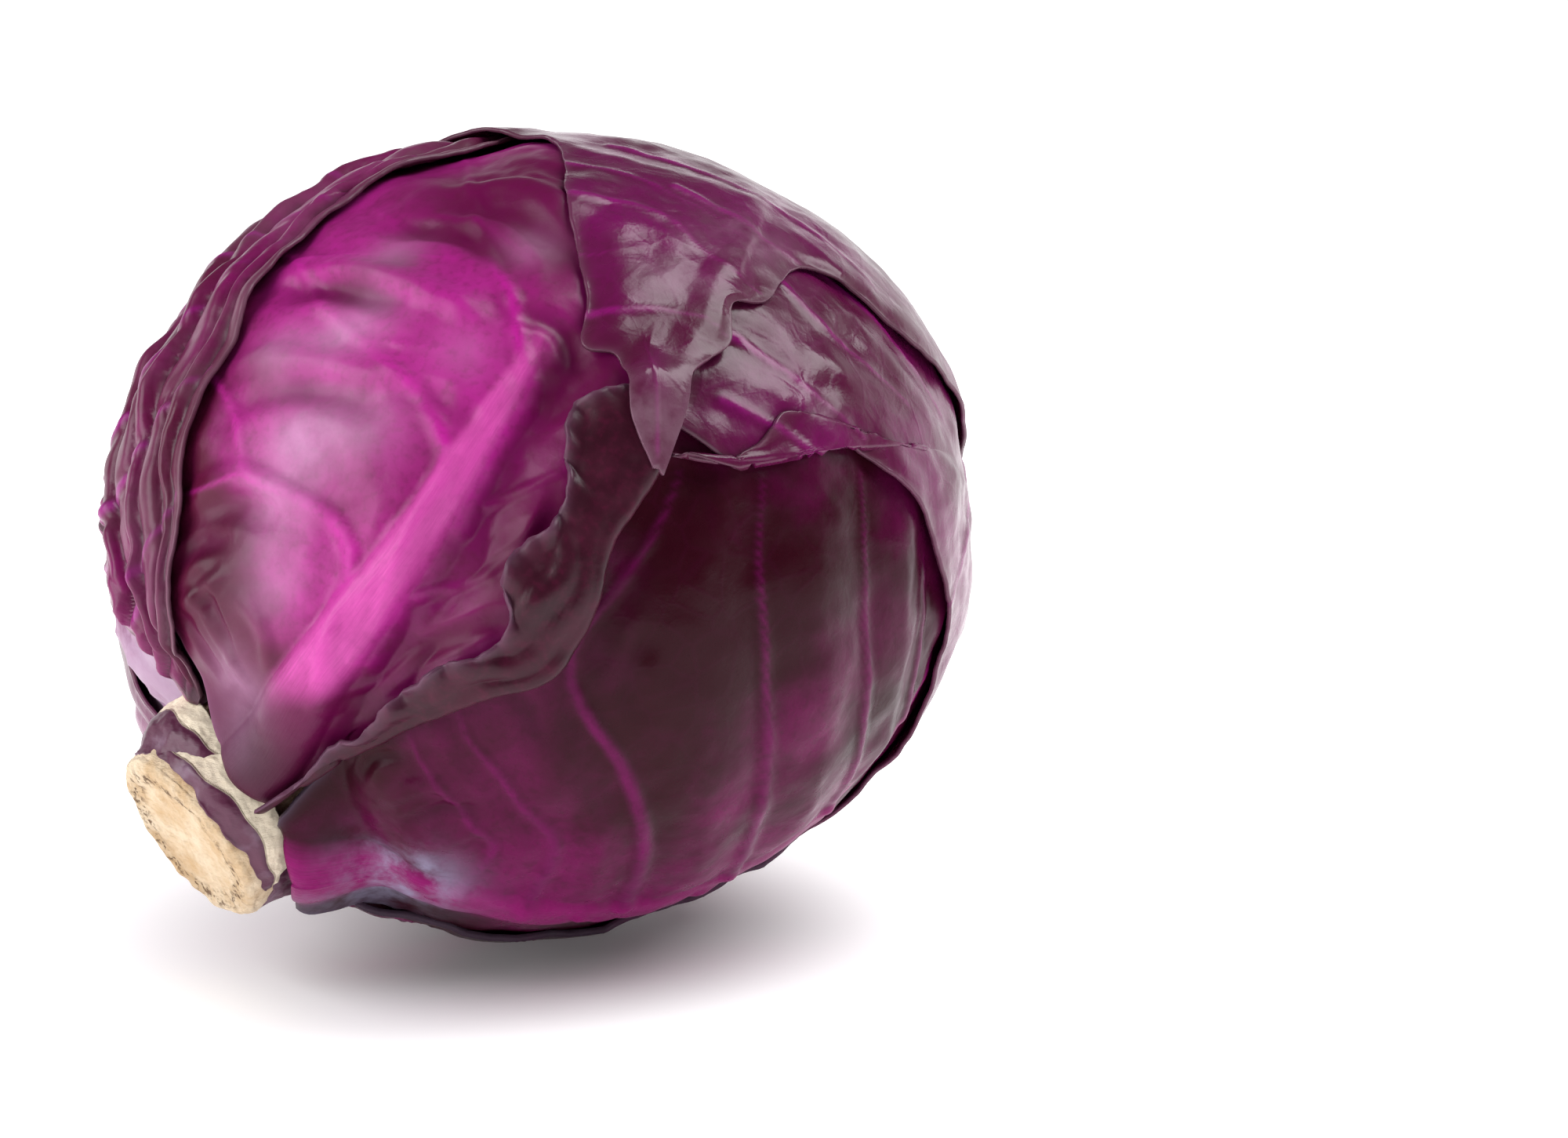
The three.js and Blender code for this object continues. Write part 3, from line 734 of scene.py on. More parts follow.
def stalk_material():
    """Trimmed stalk: dried woody tissue, cut across the grain.

    The eye gets a pale tan face with short torn fibres, darker in the ring where the vessels run, a brown
    dried rim and cream at the fresh scars.
    """
    material, tree, shader = new_material("cut stalk")
    place = add_node(tree, "ShaderNodeTexCoord").outputs["Object"]
    ring, cream, on_skin = (reading(tree, name) for name in ("ring", "cream", "skin"))
    cloud = noise(tree, place, 90, 6, 0.65)
    across_grain = {"Vector": place, "Rotation": (0.4, 0.5, 0), "Scale": (1, 1, 4)}
    grain = noise(tree, add_node(tree, "ShaderNodeMapping", across_grain).outputs[0], 420, 5, 0.7)
    specks = add_node(tree, "ShaderNodeTexVoronoi", {"Vector": place, "Scale": 800.0}).outputs["Distance"]
    pits = times(tree, ring, remap(tree, noise(tree, place, 700, 3, 0.6), 0.5, 0.62))
    colour = blend_colour(tree, remap(tree, cloud, 0.35, 0.7), linear("#e2ceb2"), linear("#c8a67c"))
    colour = blend_colour(tree, remap(tree, grain, 0.52, 0.75, 0.0, 0.4), colour, linear("#9a7850"))
    ring_share = times(tree, ring, remap(tree, cloud, 0.35, 0.6, 0.1, 0.5))
    colour = blend_colour(tree, ring_share, colour, linear("#a8865c"))
    colour = blend_colour(tree, pits, colour, linear("#6a4a2c"))
    cream_share = times(tree, cream, remap(tree, grain, 0.45, 0.7, 1.0, 0.75))
    colour = blend_colour(tree, cream_share, colour, linear("#f0e2ca"))
    sheen = remap(tree, noise(tree, place, 130, 3), 0.5, 0.68, 0.0, 0.5)
    skin = blend_colour(tree, sheen, linear("#54203c"), linear("#80647a"))
    colour = blend_colour(tree, remap(tree, on_skin, 0.35, 0.65), colour, skin)
    tree.links.new(colour, shader.inputs["Base Color"])
    tree.links.new(remap(tree, on_skin, 0.35, 0.65, 0.8, 0.4), shader.inputs["Roughness"])
    height = plus(tree, plus(tree, grain, times(tree, specks, 0.5)), cloud)
    height = math_node(tree, "SUBTRACT", height, pits)
    smoother = math_node(tree, "MAXIMUM", on_skin, times(tree, cream, 0.6))
    height = times(tree, height, remap(tree, smoother, 0.2, 0.8, 1.0, 0.15))
    bumped(tree, shader, height, 0.8, 0.0008)
    return material


STALK_WOOD = stalk_material()


# ---- Wrapper leaves, from the innermost to the outermost ---------------------------------------
def crumpled_margin(grid):
    """The top leaf's right margin: long rounded folds pressed side by side, with sharp creases between."""
    along = grid["along_mm"]
    from_edge = np.where(grid["across"] > 0, grid["side_mm"], 99.0)
    crowd = 0.4 + 0.6 * smooth_step(0.0, 0.4, grid["along"])  # the folds gather towards the stalk
    sway = 1.6 * ripple(along, 70, (64.0, 31.0), 0.6)
    creases = [0 * along - 0.5]
    for k, offset in enumerate((4.5, 9.0, 18.5, 25.0, 37.0, 46.0)):
        wander = sway * min(1, 0.4 + 0.2 * k) + 0.9 * ripple(along, 71 + k, (38.0, 17.0), 0.5)
        creases.append(crowd * (offset + wander))
    height = np.zeros_like(from_edge)
    for k, (near, far) in enumerate(zip(creases[:-1], creases[1:])):
        middle, half = (near + far) / 2, np.maximum((far - near) / 2, 0.8)
        u = np.clip((from_edge - middle) / half, -1, 1)
        lean = u + 0.35 * (1 - u * u)
        tube = np.clip(1 - np.abs(lean) ** 2.4, 0, 1) ** 0.6
        size = (1.5, 2.6, 2.6, 3.6, 2.8, 3.4)[k] * (0.85 + 0.25 * ripple(along, 81 + k, (45.0, 19.0)))
        height = np.where((from_edge >= near) & (from_edge < far), size * tube, height)
    dents = np.clip(ripple(along + 0.9 * from_edge, 91, (23.0, 13.0), 0.8), 0, 1)
    dents = 0.6 * dents * smooth_step(8, 14, from_edge) * (height > 0)
    fading = smooth_step(0.0, 0.08, grid["along"]) * (1 - 0.5 * smooth_step(0.6, 0.95, grid["along"]))
    return (height - dents) * fading


def painted_fold_shade(grid):
    """Painted shade: the creases between the top leaf's folds are darkened where shade falls in them."""
    height = crumpled_margin(grid)
    near_margin = (grid["across"] > 0) & (grid["side_mm"] < 44)
    return np.where(near_margin, 0.8 * np.exp(-np.clip(height, 0, 9) / 0.8), 0.0)


def shaded_valley(grid):
    """The front leaf sinks beside its rib on the right, then rises to the fold."""
    along = grid["along"]
    valley = np.exp(-(((grid["rib_mm"] - 12 * (1 - 0.55 * along)) / 6.5) ** 2))
    return -4.4 * valley * smooth_step(0.0, 0.12, along) * (1 - smooth_step(0.5, 0.8, along))


def sunk_margin(grid):
    """The lower front leaf's upper margin is tucked in under the front leaf."""
    return -3.0 * np.where(grid["across"] < 0, np.exp(-((grid["side_mm"] / 9) ** 2)), 0)


def violet_and_shade_beside_rib(grid):
    """The strip right of the front leaf's rib: its own dark violet, with painted shade where it sinks beside
    the rib.
    """
    along = grid["along"]
    return 0.62 * smooth_step(3.5, 9.5, grid["rib_mm"] + 5 * along) * (1 - smooth_step(0.6, 0.8, along))


# A leaf's lines and zones go through places: degrees away from the stalk, then degrees round it, where 0 is
# the top, 90 the front, 180 the underside and 270 the back. "left" and "right" are its margins seen with the
# stalk below. Heights and widths are in millimetres, and "lift" is the sheet's height over the head's shape.
# A vein has a relative size, a crease its height and width, a zone its radius in degrees and its strength.
LOWER_FRONT = {
    "name": "lower_front_leaf", "node": "leaf_lower_front", "slot": "dark_leaf", "material": DARK_LEAF,
    "seed": 11, "lift": -6, "rib_height": 2.6,
    "rib_width": (10, 5),
    "swell": 2.0, "vein_height": 1.0, "vein_width": 2.6, "neck": 13, "neck_end": 0.09, "spacing": 0.9,
    "vivid": 0.2,
    "rib": [(14, 118), (30, 130), (46, 138), (65, 146), (85, 147), (105, 138), (125, 122), (140, 105)],
    "left": [(14.5, 84), (30, 67), (44, 63), (57, 64), (70, 56), (84, 50), (100, 54), (125, 68), (142, 92)],
    "right": [(14.5, 152), (30, 158), (50, 164), (75, 170), (100, 164), (125, 146), (142, 120)],
    "veins": [
        (
            [
                (57, 140), (58, 126), (59, 114), (59, 97), (58, 87), (59, 79), (63, 75), (70, 73), (81, 69),
                (87, 66),
            ],
            1.3,
        ),
        ([(42, 136), (44, 123), (46, 116), (47, 109), (45, 101), (44, 90), (43, 81), (45, 72)], 1.1),
        ([(33, 128), (37, 115), (39, 108), (37, 99), (36, 87), (36, 80), (37, 73)], 0.9),
        ([(75, 144), (76, 130), (78, 115), (82, 98), (88, 84), (96, 74)], 1.2),
        ([(93, 142), (95, 128), (98, 112), (104, 96), (112, 84)], 1.0),
        ([(108, 134), (112, 120), (118, 105)], 0.9), ([(50, 140), (60, 152), (72, 160)], 0.7),
        ([(70, 147), (82, 156), (95, 160)], 0.7),
    ],
    "creases": [
        ([(28, 88), (33, 86), (38, 90)], 1.2, 3.0), ([(28, 97), (34, 95), (40, 98)], -1.0, 2.6),
        ([(30, 106), (38, 102)], 1.0, 3.0), ([(26, 80), (30, 76), (35, 78)], -1.1, 2.2),
        ([(50, 90), (52, 80), (51, 74)], -0.9, 3.5), ([(64, 92), (66, 84), (72, 80)], -0.8, 4.0),
    ],
    # Pale blue-grey patches low near the stalk: the leaf's waxy film with a painted reflection of the pale
    # floor.
    "bloom_and_sheen_zones": [((26, 128), 7, 0.8), ((27, 116), 5, 0.4), ((22, 140), 7, 0.4)],
    "vivid_zones": [
        ((60, 142), 13, 0.7), ((40, 132), 11, 0.5), ((78, 142), 13, 0.6), ((96, 132), 10, 0.3),
        ((52, 118), 8, 0.25), ((70, 118), 9, 0.3), ((88, 112), 9, 0.2),
    ],
    "extra": sunk_margin,
}
LOWER_BACK = {
    "name": "lower_back_leaf", "node": "leaf_lower_back", "slot": "dark_leaf", "material": DARK_LEAF,
    "seed": 21, "lift": -6, "rib_height": 2.5, "spacing": 1.6,
    "rib": [(17, 238), (45, 246), (75, 250), (105, 254), (132, 262)],
    "left": [(17, 222), (45, 206), (75, 200), (105, 208), (135, 246)],
    "right": [(17, 254), (45, 285), (75, 298), (105, 300), (135, 276)],
}
UPPER_BACK = {
    "name": "upper_back_leaf", "node": "leaf_upper_back", "slot": "outer_leaf", "material": BACK_LEAF,
    "seed": 31, "lift": -5.5, "rib_height": 2.5, "spacing": 1.5, "bloom_and_sheen": 0.75,
    "rib": [(14, 318), (40, 305), (70, 293), (100, 285), (128, 280)],
    "left": [(14, 268), (40, 258), (70, 252), (100, 252), (130, 268)],
    "right": [(14, 352), (28, 362), (45, 358), (70, 345), (100, 330), (130, 300)],
}
CROWN_SIDE = {
    "name": "crown_side_leaf", "node": "leaf_crown_side", "slot": "outer_leaf", "material": OUTER_LEAF,
    "seed": 41, "lift": -3.5, "rib_height": 1.6, "rib_end": 0.5, "spacing": 1.25, "jag": 0.5, "curl": 0.3,
    "swell": 0.8, "vein_height": 0.6, "vivid": 0.45,
    "rib": [(17, 216), (50, 222), (90, 218), (125, 202), (150, 165), (140, 110), (112, 80), (93, 70)],
    "left": [
        (17, 204), (50, 188), (80, 172), (102, 152), (116, 128), (118, 100), (112, 79), (105, 69),
        (98, 69.5), (92, 68), (87, 63),
    ],
    "right": [
        (17, 228), (50, 236), (90, 242), (125, 250), (155, 285), (155, 10), (125, 45), (104, 54), (90, 60),
    ],
    "veins": [
        ([(118, 38), (123, 50), (122, 58), (124, 70), (128, 84)], 1.0),
        ([(104, 50), (107, 57), (110, 66), (114, 80)], 1.0),
        ([(130, 40), (134, 60), (137, 80), (138, 100)], 1.0), ([(98, 62), (103, 72), (108, 86)], 0.8),
        ([(145, 120), (128, 118), (112, 116)], 1.0), ([(150, 160), (128, 150), (108, 148)], 1.0),
        ([(130, 195), (118, 175), (104, 162)], 0.9), ([(110, 210), (96, 190), (84, 172)], 0.9),
    ],
}
UNDERSIDE = {
    "name": "underside_leaf", "node": "leaf_underside", "slot": "dark_leaf", "material": DARK_LEAF,
    "seed": 51, "lift": -4.0, "rib_height": 0.6, "spacing": 1.3, "jag": 0.8, "curl": 0.2, "thickness": 1.4,
    "swell": 0.6,
    "rib": [(17, 178), (45, 184), (75, 190), (105, 196), (130, 204)],
    "left": [(15, 160), (24, 156), (32, 154), (46, 157), (65, 161), (80, 162), (105, 165), (130, 190)],
    "right": [(17, 196), (45, 222), (75, 236), (105, 238), (130, 218)],
}
FRONT = {
    "name": "front_leaf", "node": "leaf_front", "slot": "front_leaf", "material": FRONT_LEAF, "seed": 61,
    "lift": -3.2, "rib_height": 5.2,
    "rib_width": (8.4, 1.6),
    "rib_end": 0.66, "swell": 1.5, "vein_height": 0.9, "vein_width": 2.6, "neck": 4, "neck_end": 0.08,
    "spacing": 0.8, "jag": 0.3, "curl": 0.0, "wrinkle": 0.6, "vivid": 0.7,
    "rib": [
        (14, 57), (23, 54), (35, 51.5), (46, 50), (56, 48.5), (69, 45), (79, 42), (89, 39), (110, 33),
        (132, 24),
    ],
    "left": [(15, 36), (26, 12), (40, -8), (58, -18), (80, -22), (105, -20), (125, -12), (138, 8)],
    "right": [
        (15, 70), (25, 70), (38, 71), (48, 73), (57, 76), (64, 73), (73, 66), (83, 63), (96, 56), (115, 48),
        (136, 36),
    ],
    "flap": {
        "free": [
            (15, 69.6), (22, 69.5), (27, 66.5), (35, 66.5), (44, 66), (51, 67), (57, 67), (60, 61.5),
            (66, 60.5), (72, 58.5), (76, 53.5), (82, 51), (90, 54.5), (97, 55.5), (115, 47.6), (136, 35.6),
        ],
        "jag": 1.3, "pleat": 1.0, "rounding": 1.1,
    },
    "veins": [
        (
            [
                (32, 58), (35, 56), (42, 47), (47, 45), (50, 39), (50, 30), (49, 19), (54, 11), (58, 0),
                (60, -10),
            ],
            1.25,
        ),
        ([(50, 30), (49, 20), (44, 9), (42, 0)], 0.7),
        (
            [
                (40, 57), (44, 56), (58, 47), (64, 45), (67, 40), (69, 33), (70, 22), (73, 8), (77, 0),
                (79, -12),
            ],
            1.3,
        ),
        (
            [(60, 52), (71, 47), (79, 45), (81, 41), (87, 33), (90, 26), (98, 13), (107, 0), (112, -10)],
            1.25,
        ),
        ([(77, 0), (81, 10), (85, 18), (89, 27)], 0.7), ([(70, 22), (74, 30), (79, 40)], 0.5),
        ([(90, 1), (88, 10), (87, 20), (88, 26)], 0.5), ([(50, 55), (57, 59), (63, 60), (69, 62)], 0.8),
        ([(34, 58), (40, 63), (47, 65), (54, 67)], 0.7), ([(64, 52), (72, 55), (78, 57)], 0.7),
    ],
    "creases": [
        ([(74, -4), (78, 8), (80, 20), (82, 34)], 2.0, 4.5), ([(71, 2), (75, 12), (77, 24)], -2.2, 5.0),
        ([(60, 4), (64, 14), (67, 24), (70, 34)], 1.8, 4.0), ([(56, 10), (61, 20), (64, 32)], -1.8, 4.5),
        ([(40, 4), (46, 12), (49, 22), (49, 34)], 1.2, 3.6), ([(38, 8), (44, 18), (46, 30)], -1.6, 4.5),
        ([(87, 8), (91, 18), (91, 30)], -1.8, 4.5), ([(98, 6), (104, 16), (104, 28)], 1.6, 4.5),
        ([(96, 12), (99, 22), (97, 34)], -1.8, 4.5), ([(28, 34), (31, 26), (35, 18)], -1.8, 2.6),
        ([(26, 40), (29, 30), (32, 22)], 1.5, 2.2), ([(30, 44), (34, 38), (36, 30)], 1.0, 2.6),
        ([(34, 10), (38, 14), (41, 22)], -1.8, 3.2), ([(30, 14), (34, 20), (38, 24)], 1.4, 2.4),
        ([(24, 30), (27, 22), (30, 14)], -1.2, 2.2), ([(42, 62), (50, 64), (58, 66)], -1.0, 3.5),
        ([(58, 60), (66, 61), (72, 58)], -1.2, 3.5), ([(66, 30), (70, 38), (70, 46)], -1.0, 4.0),
        ([(84, 34), (88, 40), (87, 46)], -1.4, 3.6), ([(110, 12), (112, 22), (110, 32)], -1.2, 4.0),
    ],
    "extra": shaded_valley, "deep_and_shade": violet_and_shade_beside_rib,
    # Darker patches: the leaf's own colour at its base and top, painted shade beside the rib's base, and
    # others.
    "deep_and_shade_zones": [
        ((106, 16), 19, 0.95), ((100, 36), 8, 0.5), ((14, 54), 13, 1.1), ((30, 60), 5, 0.7),
        ((66, 66), 8, 0.4), ((84, 48), 6, 0.5), ((82, 16), 3, 0.4), ((23, 53), 9, 0.4),
    ],
    "vivid_zones": [
        ((34, 8), 13, -0.9), ((50, -4), 9, -0.8), ((66, -6), 8, -0.6), ((82, -6), 9, -0.4),
        ((77, 14), 4, -0.4), ((100, 10), 14, -0.3), ((61, 10), 4, -0.4), ((18, 50), 11, -0.9),
        ((22, 20), 9, -0.5), ((40, 16), 6, -0.3), ((30, 52), 6, -0.35), ((84, 28), 7, 0.15),
        ((110, -8), 6, 0.4),
    ],
    "dull_zones": [((15, 52), 9, 0.7), ((24, 44), 6, 0.25), ((35, 21), 7, 0.5), ((20, 56), 5, 0.25)],
    # Painted sheen: pale lilac patches on the bulges that face the left light.
    "bloom_and_sheen_zones": [
        ((56, 24), 6, 0.6), ((48, 28), 5, 0.35), ((64, 12), 4, 0.4), ((73, 20), 5, 0.35),
        ((62, 32), 5, 0.3), ((83, 14), 4, 0.4), ((40, 34), 5, 0.25), ((25, 36), 5, 0.35),
        ((18, 40), 4, 0.15), ((96, 28), 4, 0.3), ((76, 34), 4, 0.2), ((68, 18), 4, 0.35),
    ],
}
TOP = {
    "name": "top_leaf", "node": "leaf_top", "slot": "outer_leaf", "material": FOLDED_LEAF, "seed": 81,
    "lift": -3.0, "rib_height": 1.8,
    "rib_width": (4, 2),
    "spacing": 0.75, "jag": 0.5, "curl": 0.2, "swell": 0.6, "vivid": 0.45, "bloom_and_sheen": 0.1,
    "rib": [(16, 4), (23, 354), (34, 338), (50, 322), (75, 308), (105, 302), (130, 300)],
    "left": [(16, 357), (22, 344), (28, 325), (40, 302), (60, 280), (90, 264), (120, 264), (133, 284)],
    "right": [
        (16, 10), (22, 14), (30, 14), (42, 8), (50, 5), (58, 3), (64, 2), (79, 358), (95, 356), (111, 355),
        (126, 345), (134, 318),
    ],
    "extra": crumpled_margin, "deep_and_shade": painted_fold_shade,
}
OVER_CROWN = {
    "name": "over_crown_leaf", "node": "leaf_over_crown", "slot": "outer_leaf", "material": OUTER_LEAF,
    "seed": 91, "lift": -1.0, "rib_height": 3.0, "rib_end": 0.5, "spacing": 1.1, "jag": 0.35, "curl": 0.2,
    "swell": 0.7, "vein_height": 0.5, "wrinkle": 0.4, "vivid": 0.5, "evened": 3.0,
    "rib": [
        (17, 268), (45, 272), (80, 278), (110, 290), (138, 308), (158, 0), (136, 36), (112, 46), (95, 50),
        (83, 63.5),
    ],
    "left": [
        (17, 254), (40, 241), (70, 233), (100, 227), (125, 212), (144, 180), (150, 125), (139, 78),
        (129, 54), (120, 54), (115, 55), (109, 53), (104, 57), (95, 57), (91, 60), (83, 64.5),
    ],
    "right": [
        (17, 282), (40, 299), (70, 311), (95, 321), (111, 338), (119, 3), (105, 25), (99, 33), (93, 41),
        (88, 45), (90, 49), (85, 56), (82.5, 63),
    ],
    "veins": [
        ([(110, 5), (112, 14), (116, 20), (119, 26), (120, 33), (122, 40)], 0.9),
        ([(90, 40), (91, 41), (96, 45), (100, 48), (103, 52), (104, 56)], 0.9),
        ([(96, 31), (98, 33), (101, 36), (108, 39)], 0.6),
        ([(106, 25), (112, 31), (114, 37), (113, 42), (113, 49), (115, 54)], 0.9),
        ([(122, 30), (124, 39), (125, 47), (128, 53)], 1.0),
        ([(126, 10), (133, 26), (138, 45), (140, 66)], 1.0), ([(84, 62), (90, 55), (94, 50)], 0.5),
        ([(40, 271), (52, 285), (66, 298)], 1.0), ([(62, 275), (76, 290), (92, 306)], 1.0),
        ([(85, 280), (98, 297), (110, 318)], 1.0), ([(105, 288), (116, 310), (124, 340)], 1.0),
        ([(45, 272), (60, 256), (76, 243)], 1.0), ([(68, 276), (84, 258), (100, 242)], 1.0),
        ([(92, 283), (110, 262), (124, 240)], 1.0), ([(118, 295), (134, 270), (142, 225)], 1.0),
        ([(138, 308), (150, 270), (152, 200)], 0.9),
    ],
    "bloom_and_sheen_zones": [((108, 44), 6, 0.35), ((86, 58), 6, 0.3), ((122, 46), 6, 0.25)],
    "vivid_zones": [((103, 30), 8, 0.4), ((96, 38), 5, 0.3)],
}


# ---- The heart, the stalk and the stubs -------------------------------------------------------
def make_heart():
    """The tight inner head: a smooth ball of closed leaves, seen only between the leaf bases."""
    bpy.ops.object.select_all(action="DESELECT")
    bpy.ops.mesh.primitive_ico_sphere_add(subdivisions=6, radius=1)
    piece = bpy.context.object
    piece.name = piece.data.name = "tight_heart"
    corners = np.empty(len(piece.data.vertices) * 3)
    piece.data.vertices.foreach_get("co", corners)
    ways = unit(corners.reshape(-1, 3))
    reach = head_radius(ways) - HEART_DEPTH + 0.3 * MM * lumps(ways * HEAD_RADIUS, 14.0, 5)
    piece.data.vertices.foreach_set("co", (MIDDLE + ways * reach[:, None]).reshape(-1))
    piece.data.update()
    return finish_piece(piece, BACK_LEAF, ("heart",))


def beside_stalk(along, turn, radius):
    """Points beside the stalk's axis; turn is in radians round it from the top by the front."""
    side = np.cos(turn)[..., None] * TOP_WAY + np.sin(turn)[..., None] * FRONT_WAY
    return MIDDLE + along[..., None] * STALK_WAY + radius[..., None] * side


def stalk_radius(turn):
    """The cut's uneven outline."""
    uneven = 0.05 * np.cos(2 * turn - 0.6) + 0.025 * np.cos(3 * turn + 1) + 0.012 * np.cos(7 * turn)
    return STALK_RADIUS * (1 + uneven)


# The stump's outline, from its buried end to the middle of the cut: shares of its radius and its length.
STALK_OUTLINE = (
    (0.0, 0.0), (0.9, 0.0), (1.0, 0.02), (1.0, 0.3), (0.98, 0.5), (1.0, 0.7), (1.02, 0.85), (1.03, 0.93),
    (1.0, 0.975), (0.95, 0.995), (0.88, 1.0), (0.8, 0.992), (0.7, 0.985), (0.55, 0.98), (0.4, 0.978),
    (0.25, 0.98), (0.1, 0.982), (0.0, 0.982),
)
STALK_RINGS, STALK_TURNS = 110, 160


def make_stalk():
    """The stump: rough skin up to a worn rim, and a fibrous cut face that dishes a little."""
    steps = np.linspace(0, len(STALK_OUTLINE) - 1, STALK_RINGS)
    out, rise = (np.interp(steps, range(len(STALK_OUTLINE)), values) for values in zip(*STALK_OUTLINE))
    turn = np.linspace(0, 2 * math.pi, STALK_TURNS, endpoint=False)
    share, angle = np.meshgrid(out, turn, indexing="ij")
    height = np.repeat(rise[:, None], STALK_TURNS, 1)
    along = STALK_ROOT + height * (STALK_REACH - STALK_ROOT)
    points = beside_stalk(along, angle, share * stalk_radius(angle))
    rough = 0.25 * lumps(points / MM, 5.0, 3) + 0.18 * lumps(points / MM, 2.0, 4)
    on_face = smooth_step(0.955, 0.98, height)
    side = unit(np.cos(angle)[..., None] * TOP_WAY + np.sin(angle)[..., None] * FRONT_WAY)
    outward = (1 - on_face)[..., None] * side + on_face[..., None] * STALK_WAY
    points = points + (rough * MM)[..., None] * outward
    faces = []
    for i in range(STALK_RINGS - 1):
        low, high = i * STALK_TURNS, (i + 1) * STALK_TURNS
        for j in range(STALK_TURNS):
            k = (j + 1) % STALK_TURNS
            faces.append((low + j, high + j, high + k, low + k))
    mesh = bpy.data.meshes.new("stalk_stump")
    mesh.from_pydata(points.reshape(-1, 3).tolist(), [], faces)
    piece = bpy.data.objects.new("stalk_stump_piece", mesh)
    bpy.context.collection.objects.link(piece)
    ring = np.exp(-(((share - 0.8) / 0.1) ** 2)) * on_face
    skin = (1 - on_face) * (0.15 + 0.2 * smooth_step(0.97, 1.0, share))
    for key, field in {"ring": ring, "cream": 0 * ring, "skin": skin}.items():
        layer = mesh.attributes.new(key, "FLOAT", "POINT")
        layer.data.foreach_set("value", field.astype(np.float32).reshape(-1))
    bpy.ops.object.select_all(action="DESELECT")
    piece.select_set(True)
    bpy.context.view_layer.objects.active = piece
    bpy.ops.object.mode_set(mode="EDIT")
    bpy.ops.mesh.select_all(action="SELECT")
    bpy.ops.mesh.remove_doubles(threshold=1e-6)
    bpy.ops.mesh.normals_make_consistent(inside=False)
    bpy.ops.object.mode_set(mode="OBJECT")
    return finish_piece(piece, STALK_WOOD, ("stalk_stump",))


# Each stub: the angles round the stalk that it runs between, how far back from the cut face it starts,
# turns from cut to skin and ends, and its thickness, in degrees and millimetres.
STUBS = (
    {"node": "leaf_stub_top", "from": -50, "to": 48, "low": 16, "turn": 10.5, "high": 2.6, "thick": 3.4},
    {"node": "leaf_stub_front", "from": 4, "to": 128, "low": 12, "turn": 5.5, "high": 1.6, "thick": 2.4},
    {"node": "leaf_stub_low", "from": 112, "to": 206, "low": 16, "turn": 15, "high": 4, "thick": 2.0},
    {"node": "leaf_stub_back", "from": 204, "to": 312, "low": 18, "turn": 14, "high": 4, "thick": 2.4},
)


def make_stub(stub, seed):
    """A cut-off leaf base that hugs the stalk: purple skin towards the stalk's end, cream at the cut."""
    steps, rings = 90, 40
    share = np.linspace(0, 1, steps + 1)[:, None] * np.ones(rings + 1)
    up = np.ones((steps + 1, 1)) * np.linspace(0, 1, rings + 1)
    turn = np.radians(stub["from"] + (stub["to"] - stub["from"]) * share)
    body = np.sin(math.pi * np.clip(share, 0.01, 0.99)) ** 0.7
    broad = 0.3 + 0.7 * body
    arc = share * 40
    reach = STALK_REACH / MM
    worn = 0.7 * ripple(arc, seed, (19.0, 8.0, 4.0))
    top = reach - stub["turn"] + (stub["turn"] - stub["high"]) * broad + worn
    low = top - (top - reach + stub["low"]) * broad
    along = low + (top - low) * up
    divide = reach - stub["turn"] + 1.0 * ripple(arc, seed + 3, (23.0, 9.0))
    slope = smooth_step(0, 1, (along - divide) / np.maximum(top - divide, 1))
    out = 0.8 + stub["thick"] * body * (1 - slope**1.5)
    points = beside_stalk(along * MM, turn, stalk_radius(turn) + out * MM)
    grain = 0.25 * lumps(points / MM, 3.0, seed + 9, 3)
    side = np.cos(turn)[..., None] * TOP_WAY + np.sin(turn)[..., None] * FRONT_WAY
    points = points + (grain * MM)[..., None] * side
    skin = smooth_step(-0.4, 0.4, along - divide)
    fields = {"ring": 0 * up, "cream": 1 - skin, "skin": skin}
    piece = grid_object(stub["node"] + "_piece", points, fields, {"rib_mm": arc, "along_mm": along})
    apply_modifier(piece, "SOLIDIFY", thickness=STUB_THICKNESS, offset=-1)
    return finish_piece(piece, STALK_WOOD, (stub["node"],))


make_heart()
make_stalk()
for leaf in (LOWER_FRONT, LOWER_BACK, UPPER_BACK, CROWN_SIDE, UNDERSIDE, FRONT, TOP, OVER_CROWN):
    make_leaf(leaf)
for seed, stub in enumerate(STUBS, 1):
    make_stub(stub, seed)


# ---- Floor, light and camera ------------------------------------------------------------------
FLOOR_REACH = 40.0  # metres each way


def floor_material():
    """White floor whose glow is painted light: it glows more the further it is from the head, so it is
    darker close round the head.
    """
    material, tree, shader = new_material("pale floor")
    shader.inputs["Base Color"].default_value = linear("#f0eff0")
    shader.inputs["Roughness"].default_value = 0.7
    shader.inputs["Specular IOR Level"].default_value = 0.2
    place = add_node(tree, "ShaderNodeTexCoord").outputs["Object"]
    distance = add_node(tree, "ShaderNodeVectorMath", {0: place}, operation="LENGTH").outputs["Value"]
    shader.inputs["Emission Color"].default_value = linear("#ffffff")
    # Painted light: the glow is faint close to the head and full from 14 cm out.
    tree.links.new(remap(tree, distance, 0.03, 0.14, 0.05, 1.0), shader.inputs["Emission Strength"])
    return material


def make_floor():
    """A level floor, wide enough to fill the view."""
    far = FLOOR_REACH
    bpy.ops.mesh.primitive_plane_add(size=1)
    floor = bpy.context.object
    floor.name = "pale_floor"
    floor.data.vertices.foreach_set("co", (-far, -far, 0, far, -far, 0, -far, far, 0, far, far, 0))
    floor.data.materials.append(floor_material())


make_floor()

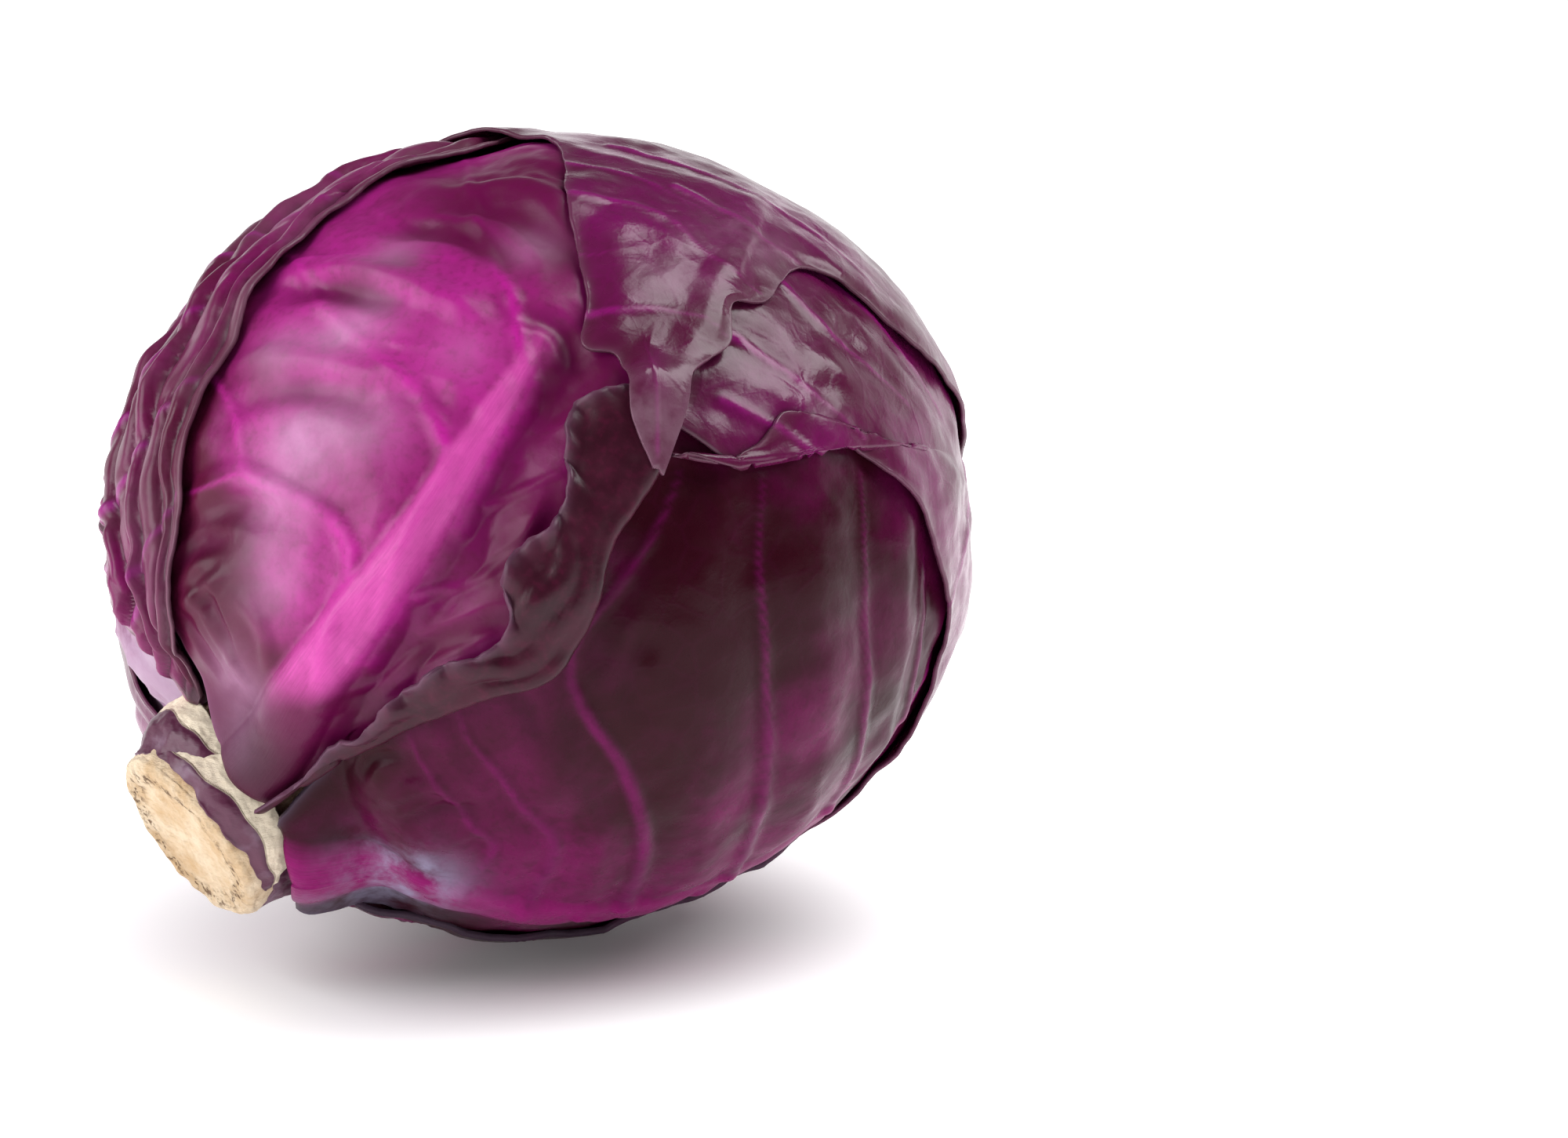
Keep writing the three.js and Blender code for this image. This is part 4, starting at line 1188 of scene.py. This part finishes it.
CAMERA_AZIMUTH = math.radians(-38.5)
CAMERA_HEIGHT = math.radians(11)
LEVEL_BACK = np.array((math.sin(CAMERA_AZIMUTH), -math.cos(CAMERA_AZIMUTH), 0))
BACK = math.cos(CAMERA_HEIGHT) * LEVEL_BACK + math.sin(CAMERA_HEIGHT) * np.array((0, 0, 1))
RIGHT = np.array((math.cos(CAMERA_AZIMUTH), math.sin(CAMERA_AZIMUTH), 0))
UP = np.cross(BACK, RIGHT)


def add_camera():
    data = bpy.data.cameras.new("camera")
    data.lens = 85
    data.sensor_width = 36
    camera = bpy.data.objects.new("camera", data)
    bpy.context.collection.objects.link(camera)
    camera.location = MIDDLE + np.array((-0.4251, -0.6124, 0.1388))
    camera.rotation_euler = Vector(BACK).to_track_quat("Z", "Y").to_euler()
    bpy.context.scene.camera = camera


def add_softbox(name, right, up, back, distance, width, height, power):
    """A rectangular soft light that faces the head; its place is given as the camera sees it."""
    data = bpy.data.lights.new(name, "AREA")
    data.shape = "RECTANGLE"
    data.size = width
    data.size_y = height
    data.energy = power
    light = bpy.data.objects.new(name, data)
    bpy.context.collection.objects.link(light)
    way = unit(right * RIGHT + up * UP + back * BACK)
    light.location = MIDDLE + way * distance
    light.rotation_euler = Vector(way).to_track_quat("Z", "Y").to_euler()


add_camera()
add_softbox("left softbox", -0.75, 0.32, 0.5, 1.1, 0.8, 0.9, 11)
add_softbox("right softbox", 0.62, 0.76, 0.1, 1.1, 0.6, 0.85, 11)
world = bpy.data.worlds.new("pale studio")
bpy.context.scene.world = world
world.use_nodes = True
sky = world.node_tree
outlook = add_node(sky, "ShaderNodeTexCoord").outputs["Generated"]
towards_wall = {0: outlook, 1: tuple(-BACK)}
facing = add_node(sky, "ShaderNodeVectorMath", towards_wall, operation="DOT_PRODUCT").outputs["Value"]
height = add_node(sky, "ShaderNodeSeparateXYZ", {0: outlook}).outputs[2]
low_glow = times(sky, remap(sky, facing, 0.0, 0.6), remap(sky, height, 0.15, 0.55, 1.0, 0.0))
sky.nodes["Background"].inputs[0].default_value = linear("#ffffff")
sky.links.new(remap(sky, low_glow, 0.0, 1.0, 0.1, 1.4), sky.nodes["Background"].inputs[1])
bpy.context.scene.view_settings.view_transform = "Standard"
